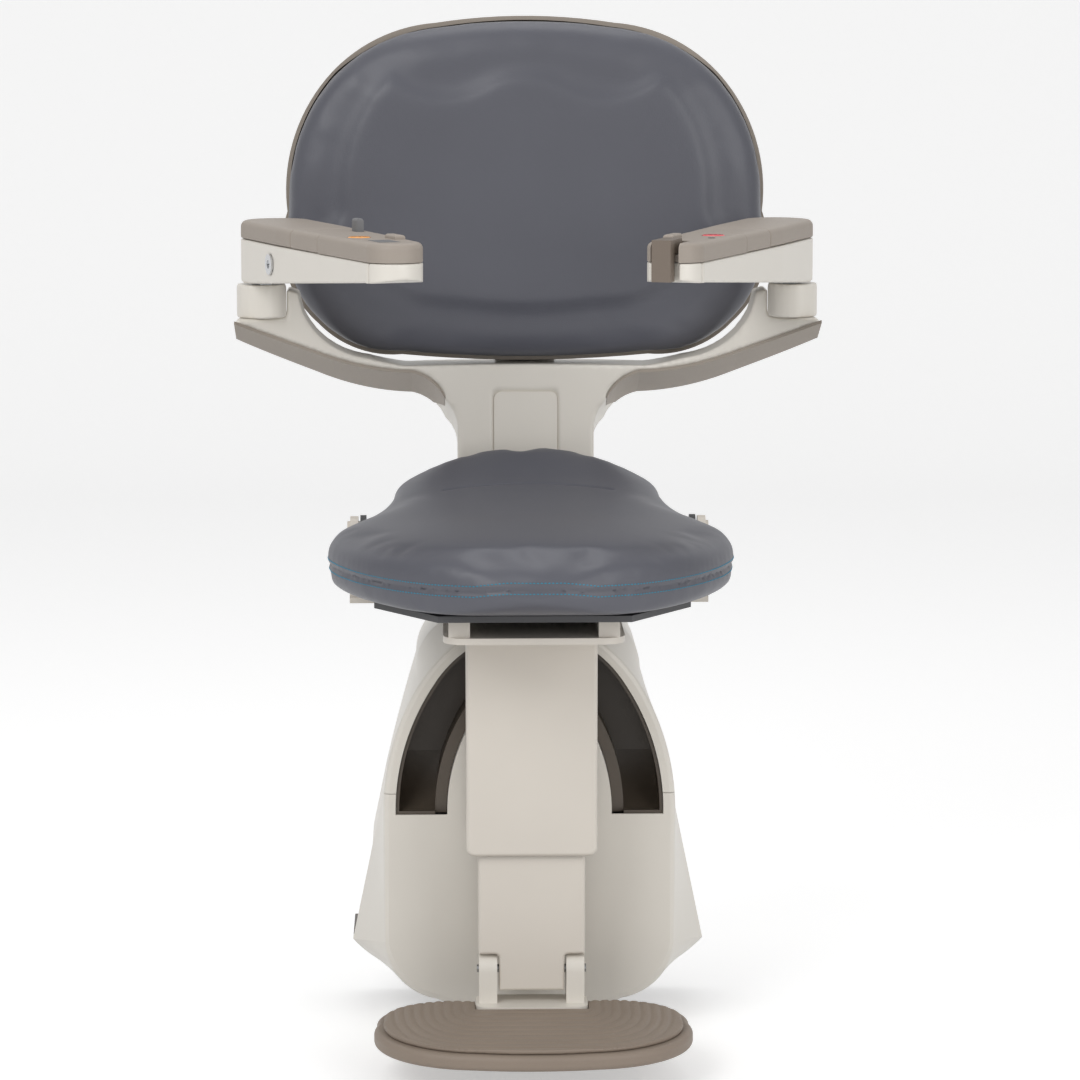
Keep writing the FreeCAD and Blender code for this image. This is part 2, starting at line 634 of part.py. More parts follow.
def rectangle(half, y0, y1):
    return [("-(%s)" % half, y0), (half, y0), (half, y1), ("-(%s)" % half, y1)]


def column_cover(label, profile, y0, y1, corners, corner_radius, edge_radius):
    """A cover padded back from its front outline, with rounded corners and a softened front."""
    body = doc.addObject("PartDesign::Body", label)
    sketch = outline(body, "XZ_Plane", profile, "-(%s)" % y1, label + "_outline")
    pad = body.newObject("PartDesign::Pad", label + "_pad")
    pad.Profile = sketch
    pad.setExpression("Length", bound("(%s) - (%s)" % (y1, y0)))
    last = rounded(body, pad, corners, corner_radius, ALONG["y"], label + "_corners")
    front = number(y0)
    return body, filleted(body, last, lambda bounds: bounds.YMax < front + 0.01, edge_radius,
                          label + "_edge")


body, last = column_cover("upper_column_body",
                          [("-#upper_half", "#upper_low"), ("#upper_half", "#upper_low"),
                           ("#upper_half", "#upper_high"), ("-#upper_half", "#upper_high")],
                          "#upper_front", "#upper_back",
                          [("-#upper_half", "#upper_low"), ("#upper_half", "#upper_low")],
                          "#upper_corner", "#upper_edge")
inside = outline(body, "XY_Plane", rectangle("#upper_half - #column_wall",
                                             "#upper_front + #column_wall",
                                             "#upper_back - #column_wall"),
                 "#upper_high", "upper_column_inside")
pocket(body, inside, "#upper_high - #upper_low")
node(cut(body, rod("y", 0, "#upper_back - #column_wall - 1", "#level_height", "#shaft_radius + 1.5",
                   "#column_wall + 2", "CoverShaftHole"), name="UpperCover"), "upper_column_cover")

body, last = column_cover("lower_column_body",
                          [("-#lower_half", "#ear_notch"), ("-#boot_half", "#ear_notch"),
                           ("-#boot_half", "#boot_low"), ("#boot_half", "#boot_low"),
                           ("#boot_half", "#ear_notch"), ("#lower_half", "#ear_notch"),
                           ("#lower_half", "#lower_high"), ("-#lower_half", "#lower_high")],
                          "#lower_front", "#lower_back",
                          [("-#boot_half", "#ear_notch"), ("#boot_half", "#ear_notch")],
                          "#upper_corner * 0.5", "#column_wall")
inside = outline(body, "XY_Plane", rectangle("#lower_half - #column_wall",
                                             "#lower_front + #column_wall",
                                             "#lower_back - #column_wall"),
                 "#lower_high", "lower_column_inside")
pocket(body, inside, "#lower_high - #ear_notch - #column_wall")
boot = outline(body, "XY_Plane", rectangle("#boot_half - #column_wall",
                                           "#lower_front + #column_wall",
                                           "#lower_back - #column_wall"),
               "#ear_notch + #column_wall + 1", "lower_column_boot")
pocket(body, boot, "#ear_notch - #boot_low + 1")
size(hinge_y=-207, hinge_z=-41, hinge_pin=4, hinge_fit=0.05, ear_radius=16, ear_inner=33.5,
     ear_outer=51, pin_half=53, base_half=54, base_front=-240, base_back=-188, base_top=-72,
     board_bottom=-93, board_top=-78, mat_top=-73, mat_inset=7, foot_half=149, foot_front=-402,
     foot_back=-200, foot_edge=5)
slot = box("-#shaft_slot_half", "#shaft_slot_half", "#lower_back - #column_wall - 1", "#lower_back + 1",
           "#shaft_slot_low", "#lower_high + 1", "ShaftSlot")
pin_way = rod("x", "-#lower_half", "#hinge_y", "#hinge_z", "#hinge_pin + #hinge_fit",
              "2 * #lower_half", "PinWay")
node(cut(body, slot, pin_way, name="LowerCover"), "lower_column_cover")
tube_x = "(#frame_half_x - #frame_wall - #tube_fit)"
tube_y0 = "(#column_y - #frame_half_y + #frame_wall + #tube_fit)"
tube_y1 = "(#column_y + #frame_half_y - #frame_wall - #tube_fit)"
tube = slab("tube_body", "z", rectangle(tube_x, tube_y0, tube_y1), "#tube_low", "#tube_high",
            cuts=[rectangle(tube_x + " - #frame_wall", tube_y0 + " + #frame_wall",
                            tube_y1 + " - #frame_wall")])
boot_floor = "(#boot_low + #column_wall + #tube_fit)"
hinge_block = slab("hinge_block_body", "x",
                   [("#lower_front + #column_wall + #tube_fit", "#boot_low + #boot_round"),
                    ("#lower_front + #column_wall + #boot_round", boot_floor),
                    (tube_y1, boot_floor), (tube_y1, "#tube_low"),
                    ("#lower_front + #column_wall + #tube_fit", "#tube_low")],
                   "-#boot_half + #column_wall + #tube_fit", "#boot_half - #column_wall - #tube_fit")
hinge_block = cut(hinge_block, rod("x", "-#boot_half", "#hinge_y", "#hinge_z", "#hinge_pin + #hinge_fit",
                                   "2 * #boot_half", "BlockBore"), name="HingeBlock")
node(fused(tube, hinge_block, name="SlideTube"), "slide_tube")
node(rod("x", "-#pin_half", "#hinge_y", "#hinge_z", "#hinge_pin", "2 * #pin_half", "FootPin"),
     "footrest_hinge_pin")

# Footrest: the hinge bracket, the board and its grooved mat
ears = []
for near, far_side in (("-#ear_outer", "-#ear_inner"), ("#ear_inner", "#ear_outer")):
    ears.append(rod("x", near, "#hinge_y", "#hinge_z", "#ear_radius", "#ear_outer - #ear_inner", "Ear"))
    ears.append(box(near, far_side, "#hinge_y - #ear_radius", "#hinge_y + #ear_radius",
                    "#base_top - 1", "#hinge_z", "EarRoot"))
base = slab("bracket_base", "z",
            [("-#base_half", "#base_front"), ("#base_half", "#base_front"),
             ("#base_half", "#base_back"), ("-#base_half", "#base_back")],
            "#board_top", "#base_top",
            rounds=[([("-#base_half", "#base_front"), ("#base_half", "#base_front"),
                      ("-#base_half", "#base_back"), ("#base_half", "#base_back")], "12")])
node(cut(fused(base, *ears, name="BracketSolid"),
         rod("x", "-#base_half", "#hinge_y", "#hinge_z", "#hinge_pin + #hinge_fit", "2 * #base_half",
             "BracketBore"), name="Bracket"), "footrest_bracket")


def foot_outline(inset, z):
    """The footrest's plan: a wide oval with a nearly straight back."""
    half, front, back = read("foot_half") - inset, read("foot_front") + inset, read("foot_back") - inset

    def at(x, y):
        return Vector(x, y, z)
    steps = [((half - 21, back - 16), (half, back - 72)), ((half - 28, front + 34), (half - 88, front + 6)),
             ((0, front), (-half + 88, front + 6)), ((-half + 28, front + 34), (-half, back - 72)),
             ((-half + 21, back - 16), (-half + 78, back))]
    here = at(half - 78, back)
    start = here
    edges = []
    for middle, end in steps:
        edges.append(arc(here, at(*middle), at(*end)))
        here = at(*end)
    edges.append(line(here, start))
    return Part.Face(Part.Wire(edges))


board_low, board_top = read("board_bottom"), read("board_top")
plate = foot_outline(0, board_low).extrude(Vector(0, 0, board_top - board_low))
plate = plate.makeFillet(read("foot_edge"), plate.Edges)
shaped("footrest_board", plate)
base_way = block(-read("base_half") - 0.6, read("base_half") + 0.6, read("base_front") - 0.6, 0, -far, far)
mat = foot_outline(read("mat_inset"), board_top).extrude(Vector(0, 0, read("mat_top") - board_top))
shaped("footrest_mat", mat.cut(base_way))

# Chair frame: it swivels on the column's pin
size(deck_wall=6, deck_half=85, deck_front=-335, deck_waist=-120, tail_half=60,
     tail_back=100, beam_inner=60, beam_outer=80, beam_back=-130, pan_low=322, pan_rest=0.3,
     seat_pivot_y=-62, seat_pivot_z=372, bar_front=-118, bar_back=-92, bar_high=310,
     lug_inner=160, lug_outer=166, seat_ear_inner=168, seat_ear_outer=176, seat_ear_radius=11,
     seat_pin=6, seat_pin_end=179, bar_wall=8, upright_half=30, upright_front=86,
     upright_high=640)
deck_low = "(#frame_high + #race_tall + #swivel_gap)"
deck_top = "(%s + #deck_wall)" % deck_low
beam_high = "(#pan_low - #pan_rest)"
deck = slab("deck_body", "z",
          [("-#deck_half", "#deck_front"), ("#deck_half", "#deck_front"),
           ("#deck_half", "#deck_waist"), ("#tail_half", "#deck_waist + 30"),
           ("#tail_half", "#tail_back"), ("-#tail_half", "#tail_back"),
           ("-#tail_half", "#deck_waist + 30"), ("-#deck_half", "#deck_waist")],
          deck_low, deck_top,
          rounds=[([("-#deck_half", "#deck_front"), ("#deck_half", "#deck_front")], "20")])
pin = rod("z", 0, "#column_y", deck_low + " - #swivel_pin_drop", "#swivel_pin", "#swivel_pin_drop",
          "SwivelPin")
node(fused(deck, pin,
           box("-#beam_outer", "-#beam_inner", "#deck_front + 5", "#beam_back", deck_top, beam_high),
           box("#beam_inner", "#beam_outer", "#deck_front + 5", "#beam_back", deck_top, beam_high),
           name="Deck"), "swivel_deck")
hinge_parts = [box("-#seat_ear_outer", "#seat_ear_outer", "#bar_front", "#bar_back", deck_top,
                   "#bar_high", "HingeBar")]
for near, far_side in (("-#seat_ear_outer", "-#seat_ear_inner"), ("#seat_ear_inner", "#seat_ear_outer")):
    ear = slab("seat_ear", "x",
               [("#bar_front", deck_top), ("#bar_back", deck_top),
                ("#seat_pivot_y + #seat_ear_radius", "#seat_pivot_z"),
                ("#seat_pivot_y - #seat_ear_radius", "#seat_pivot_z")], near, far_side)
    hinge_parts.append(ear)
    hinge_parts.append(rod("x", near, "#seat_pivot_y", "#seat_pivot_z", "#seat_ear_radius",
                           "#seat_ear_outer - #seat_ear_inner", "SeatEarEye"))
hinge_parts.append(rod("x", "-#seat_pin_end", "#seat_pivot_y", "#seat_pivot_z", "#seat_pin",
                       "#seat_pin_end - #lug_inner + 1", "SeatPin"))
hinge_parts.append(rod("x", "#lug_inner - 1", "#seat_pivot_y", "#seat_pivot_z", "#seat_pin",
                       "#seat_pin_end - #lug_inner + 1", "SeatPin"))
node(fused(*hinge_parts, name="SeatHinge"), "seat_hinge_bracket")
node(box("-#upright_half", "#upright_half", "#upright_front", "#upright_front + #bar_wall", deck_top,
         "#upright_high", "Upright"), "back_upright")

# Yoke: the neck behind the seat and the two wings that carry the arms
size(neck_half=69, neck_front=38, neck_back=99.5, neck_low=304.6, neck_high=462, wing_tip=288,
     wing_tip_front=-86, wing_depth=44, wing_slope=0.42, tip_seam=579, seam_mid=543,
     seam_mid_x=210, seam_neck=518, seam_neck_x=115, cover_skin=3, tab_outer=238, tab_inner=227,
     tab_top=606, cradle_foot=584, cradle_low=524, cradle_x=120, panel_half=32, panel_top=496,
     panel_low=341, panel_wall=4, panel_gap=1, post_x=262.7, post_y=-40.3, post_radius_arm=24.5,
     post_top=612, knuckle_inner=10, knuckle_outer=21, knuckle_radius=14)


def front_line(x):
    """How far back the wing's front face lies at a distance from the middle."""
    drop = read("neck_front") - read("wing_tip_front")
    return read("neck_front") - drop * (x / read("wing_tip")) ** 2


def underside(x, z_seam, y):
    return Vector(x, y, z_seam - read("wing_slope") * (y - front_line(x)))


def yoke_outline(y):
    """The yoke in front view at a depth. Its underside slopes down to the back."""
    neck, low, high = read("neck_half"), read("neck_low"), read("neck_high")
    tip, tip_z = read("wing_tip"), read("tip_seam")
    right = []
    turn = underside(neck + 12, 489, y)
    right.append(("line", Vector(neck, y, high - read("wing_slope") * (y - front_line(neck)))))
    right.append(("arc", underside(neck + 3, 476, y), turn))
    right.append(("arc", underside(94, 507, y), underside(read("seam_neck_x"), read("seam_neck"), y)))
    middle = underside(read("seam_mid_x"), read("seam_mid"), y)
    right.append(("arc", underside(165, 526.5, y), middle))
    right.append(("arc", underside(250, 560, y), underside(tip, tip_z - 3, y)))
    top = Vector(tip, y, tip_z + 14)
    right.append(("line", top))
    right.append(("line", Vector(read("tab_outer"), y, tip_z + 14)))
    right.append(("line", Vector(read("tab_outer"), y, read("tab_top"))))
    right.append(("line", Vector(read("tab_inner"), y, read("tab_top") - 4)))
    right.append(("line", Vector(read("tab_inner") - 4, y, read("cradle_foot"))))
    right.append(("arc", Vector(197, y, 549.5), Vector(160, y, 533.5)))
    right.append(("arc", Vector(141, y, 528.2), Vector(read("cradle_x"), y, read("cradle_low"))))
    start = Vector(neck, y, low)
    edges = []
    here = start
    for kind, *places in right:
        edges.append(line(here, places[0]) if kind == "line" else arc(here, places[0], places[1]))
        here = places[-1]
    edges.append(line(here, Vector(-here.x, y, here.z)))
    mirrored = [edge.mirror(Vector(), Vector(1, 0, 0)) for edge in reversed(edges[:-1])]
    edges += mirrored
    edges.append(line(Vector(-neck, y, low), start))
    return Part.Wire(Part.__sortEdges__(edges))


tip = read("wing_tip")
tip_front = read("wing_tip_front")
depth = read("wing_depth")
neck_front, neck_back = read("neck_front"), read("neck_back")
raw = loft([yoke_outline(-120.0), yoke_outline(160.0)], True)
front_arc = arc(Vector(-tip, tip_front, 0), Vector(0, neck_front, 0), Vector(tip, tip_front, 0))
rear_arc = arc(Vector(tip, tip_front + depth, 0), Vector(0, neck_back, 0),
               Vector(-tip, tip_front + depth, 0))
band = Part.Wire([front_arc, line(Vector(tip, tip_front, 0), Vector(tip, tip_front + depth, 0)),
                  rear_arc, line(Vector(-tip, tip_front + depth, 0), Vector(-tip, tip_front, 0))])
band = Part.Face(band).extrude(Vector(0, 0, 900))
yoke = raw.common(band)
ceiling = block(-far, far, -far, far, 0, read("tip_seam"))
tab_zone = block(-read("tab_outer"), read("tab_outer"), -far, far, 0, far * 2)
yoke = yoke.common(ceiling.fuse(tab_zone))
lifted = yoke.copy()
lifted.translate(Vector(0, 0, read("cover_skin")))
wing_zone = read("neck_half") + 13
skin = yoke.cut(lifted)
covers = {}
for name, x0, x1 in (("left", -far, -wing_zone), ("right", wing_zone, far)):
    covers[name] = skin.common(block(x0, x1, -far, far, 480, read("tip_seam") - 0.5))
upright_way = block(-read("upright_half") - 0.3, read("upright_half") + 0.3,
                    read("upright_front") - 0.3, read("upright_front") + read("bar_wall") + 0.3, 0, far * 2)
panel = read("panel_half")
panel_way = block(-panel - read("panel_gap"), panel + read("panel_gap"), 0,
                  neck_front + read("panel_wall"), read("panel_low"), read("panel_top") + read("panel_gap"))
yoke = yoke.cut(covers["left"].fuse(covers["right"])).cut(upright_way).cut(panel_way)
shaped("yoke", yoke)
shaped("wing_covers", Part.makeCompound([covers["left"], covers["right"]]))
node(slab("panel_body", "y",
          [("-#panel_half", "#panel_low + #panel_gap"), ("#panel_half", "#panel_low + #panel_gap"),
           ("#panel_half", "#panel_top"), ("-#panel_half", "#panel_top")],
          "#neck_front - 0.5", "#neck_front + #panel_wall",
          rounds=[([("-#panel_half", "#panel_top"), ("#panel_half", "#panel_top")], "8")]), "neck_panel")

# Backrest: a moulded shell and the cushion in front of it
size(back_half_width=241, back_wide_z=677, back_bottom=525, back_crown=874, back_shell_front=63,
     back_shell_depth=22, back_shell_wall=4, cushion_back=62.5)


def back_form(y, inset):
    """The backrest's outline, drawn in evenly by an inset."""
    half, wide = read("back_half_width") - inset, read("back_wide_z")
    low, high = read("back_bottom") + inset, read("back_crown") - inset
    # Each side goes from the widest point over the shoulder to the crown, and down to the seat.
    right = [((half - 9, (low + wide) / 2 - 12), (half, wide)),
             ((half - 14, wide + 92), (half - 46, wide + 140)),
             ((half - 93, high - 22), (half - 150, high - 7)),
             ((0, high), (-half + 150, high - 7)),
             ((-half + 93, high - 22), (-half + 46, wide + 140)),
             ((-half + 14, wide + 92), (-half, wide)),
             ((-half + 9, (low + wide) / 2 - 12), (-half + 30, low + 38)),
             ((-half + 62, low + 15), (-half + 115, low + 6)),
             ((0, low), (half - 115, low + 6)),
             ((half - 62, low + 15), (half - 30, low + 38))]
    here = Vector(half - 30, y, low + 38)
    edges = []
    for middle, end in right:
        place = Vector(end[0], y, end[1])
        edges.append(arc(here, Vector(middle[0], y, middle[1]), place))
        here = place
    return Part.Wire(edges)


shell_front = read("back_shell_front")
shell_back = shell_front + read("back_shell_depth")
shell_wall = read("back_shell_wall")
back_outer = loft([back_form(shell_front, 1), back_form(shell_front + 10, 3), back_form(shell_back, 26)])
back_inner = loft([back_form(shell_front, 1 + shell_wall), back_form(shell_front + 10, 4 + shell_wall),
                   back_form(shell_back - shell_wall, 26 + shell_wall)])
shaped("back_shell", back_outer.cut(back_inner))
shaped("back_cushion", loft([back_form(read("cushion_back"), 6), back_form(50, 0.5), back_form(34, 4),
                             back_form(22, 22), back_form(15, 60)]))

# Seat: a pan that folds up on its pins, and the cushion on it
size(pan_wall=6, pan_half=150, pan_front=-352, pan_back=-35, lug_front=-82,
     lug_back=-44, lug_radius=12, seat_half=200, seat_wide_y=-170, seat_front=-402, seat_back=2,
     seat_floor=329.6)
pan = slab("pan_body", "z",
          [("-#pan_half + 60", "#pan_front"), ("#pan_half - 60", "#pan_front"),
           ("#pan_half", "#pan_front + 90"), ("#pan_half", "#lug_front - 40"),
           ("#lug_outer", "#lug_front"), ("#lug_outer", "#lug_back"), ("#pan_half - 20", "#pan_back"),
           ("-#pan_half + 20", "#pan_back"), ("-#lug_outer", "#lug_back"),
           ("-#lug_outer", "#lug_front"), ("-#pan_half", "#lug_front - 40"),
           ("-#pan_half", "#pan_front + 90")],
          "#pan_low", "#pan_low + #pan_wall")
lugs = []
for near, far_side in (("-#lug_outer", "-#lug_inner"), ("#lug_inner", "#lug_outer")):
    plate = slab("lug", "x",
                 [("#lug_front", "#pan_low + #pan_wall"), ("#lug_back", "#pan_low + #pan_wall"),
                  ("#seat_pivot_y + #lug_radius", "#seat_pivot_z"),
                  ("#seat_pivot_y - #lug_radius", "#seat_pivot_z")], near, far_side)
    eye = rod("x", near, "#seat_pivot_y", "#seat_pivot_z", "#lug_radius", "#lug_outer - #lug_inner",
              "LugEye")
    lugs.append(fused(plate, eye, name="Lug"))
node(cut(fused(pan, *lugs, name="Pan"),
         rod("x", "-#lug_outer - 1", "#seat_pivot_y", "#seat_pivot_z", "#seat_pin + #shaft_fit",
             "2 * #lug_outer + 2", "LugBore"), name="PanBored"), "seat_pan")


def seat_section(y, half, low, seam_z, side_z, top):
    """One upright slice of the cushion: flat below, drawn in at the seam, crowned on top."""
    def at(x, z):
        return Vector(x, y, z)
    tuck = min(16, half * 0.2)
    edges = [line(at(-half + tuck, low), at(half - tuck, low)),
             arc(at(half - tuck, low), at(half - tuck * 0.35, (low + seam_z) / 2 - 3), at(half, seam_z)),
             arc(at(half, seam_z), at(half * 0.985, (seam_z + side_z) / 2 + 3),
                 at(half * 0.86, side_z)),
             arc(at(half * 0.86, side_z), at(0, top), at(-half * 0.86, side_z)),
             arc(at(-half * 0.86, side_z), at(-half * 0.985, (seam_z + side_z) / 2 + 3), at(-half, seam_z)),
             arc(at(-half, seam_z), at(-half + tuck * 0.35, (low + seam_z) / 2 - 3),
                 at(-half + tuck, low))]
    return Part.Wire(edges)


def seat_width(y):
    """Half the cushion's width: nearly a half ellipse in front, waisted behind."""
    wide_y, half = read("seat_wide_y"), read("seat_half")
    if y < wide_y:
        return half * math.sqrt(max(0, 1 - ((y - wide_y) / (wide_y - read("seat_front"))) ** 2))
    share = (y - wide_y) / (read("seat_back") - wide_y)
    return half - 62 * math.sin(min(1, share) * math.pi / 2) ** 1.4


floor_low = read("seat_floor")
slices = [(-400, 350, 360, 366, 371), (-392, 338, 356, 374, 381), (-370, floor_low, 355, 382, 390),
          (-320, floor_low, 355, 385, 395), (-250, floor_low, 355, 386, 397),
          (-170, floor_low, 356, 388, 401), (-110, floor_low, 358, 394, 411),
          (-60, floor_low + 2, 364, 405, 427), (-22, floor_low + 5, 374, 415, 444),
          (1, 370, 388, 412, 440)]
shaped("seat_cushion", loft([seat_section(y, seat_width(y), *heights) for y, *heights in slices]))

# Armrests. Each is drawn forwards along -Y from its hinge axis, then turned and set in place.
size(arm_pivot_x=248, arm_pivot_y=-35, arm_pivot_z=645, arm_turn=20, arm_half_rear=36,
     arm_half_front=27, arm_taper_start=110, arm_taper_end=345, arm_tip=374, arm_rear=30.9,
     arm_round=31, arm_seam=12, arm_high=30, arm_low_front=-7, pad_edge=6, shell_edge=9,
     collar_start=150, collar_end=224, arm_gap=0.6, cap_start=352, slot_inner=8, slot_outer=23,
     slot_reach=16, arm_pin=5, arm_pin_half=30, button_radius=11, button_fit=0.4,
     button_travel=1.5, button_tall=6, orange_forward=275, red_forward=255, button_out=8,
     display_start=318, display_end=350, display_half=10, display_out=4, display_sink=1,
     lever_forward=190, lever_out=-20, lever_length=14, lever_wide=7, lever_tall=12,
     lever_travel=6, key_forward=92, key_height=-7, key_radius=8.5, key_ring=10, key_rotor=4,
     window_forward=292, window_out=17, toggle_forward=345, toggle_out=-5, toggle_half=9,
     toggle_tip=380, toggle_swing=7, toggle_floor=19, toggle_pin=3, toggle_pin_low=13)
pivot_z = read("arm_pivot_z")
bars, knuckles, arm_posts = [], [], []
rear_half, front_half_arm = read("arm_half_rear"), read("arm_half_front")


def arm_plan(inset):
    """The arm in plan: wide and round behind, tapering to a rounded front end."""
    rear, front = rear_half - inset, front_half_arm - inset
    taper0, taper1 = read("arm_taper_start"), read("arm_taper_end")
    tip_a, rear_a = read("arm_tip") - inset, read("arm_rear") - inset

    def at(x, a):
        return Vector(x, -a, -100)
    edges = [arc(at(-rear, 0), at(0, -rear_a), at(rear, 0)), line(at(rear, 0), at(rear, taper0)),
             line(at(rear, taper0), at(front, taper1)),
             arc(at(front, taper1), at(0, tip_a), at(-front, taper1)),
             line(at(-front, taper1), at(-rear, taper0)), line(at(-rear, taper0), at(-rear, 0))]
    return Part.Face(Part.Wire(edges)).extrude(Vector(0, 0, 300))


def arm_side(z_top):
    """The arm in side view: round about the hinge, with an underside that rises forwards."""
    round_r, low_front, tip_a = read("arm_round"), read("arm_low_front"), read("arm_tip")

    def at(a, z):
        return Vector(-100, -a, z)
    edges = [line(at(tip_a + 5, low_front + 6), at(tip_a + 5, z_top)),
             line(at(tip_a + 5, z_top), at(-2 * round_r, z_top)),
             line(at(-2 * round_r, z_top), at(-2 * round_r, 0)),
             line(at(-2 * round_r, 0), at(-round_r, 0)),
             arc(at(-round_r, 0), at(-round_r * math.sqrt(0.5), -round_r * math.sqrt(0.5)),
                 at(0, -round_r)),
             line(at(0, -round_r), at(20, -round_r)),
             line(at(20, -round_r), at(tip_a - 30, low_front)),
             arc(at(tip_a - 30, low_front), at(tip_a - 10, low_front + 1.5),
                 at(tip_a + 5, low_front + 6))]
    return Part.Face(Part.Wire(edges)).extrude(Vector(200, 0, 0))


arm_seam = read("arm_seam")
arm_gap = read("arm_gap") / 2
arm_full = arm_plan(0).common(arm_side(read("arm_high")))


def in_arm(x0, x1, a0, a1, z0, z1):
    return block(x0, x1, -a1, -a0, z0, z1)


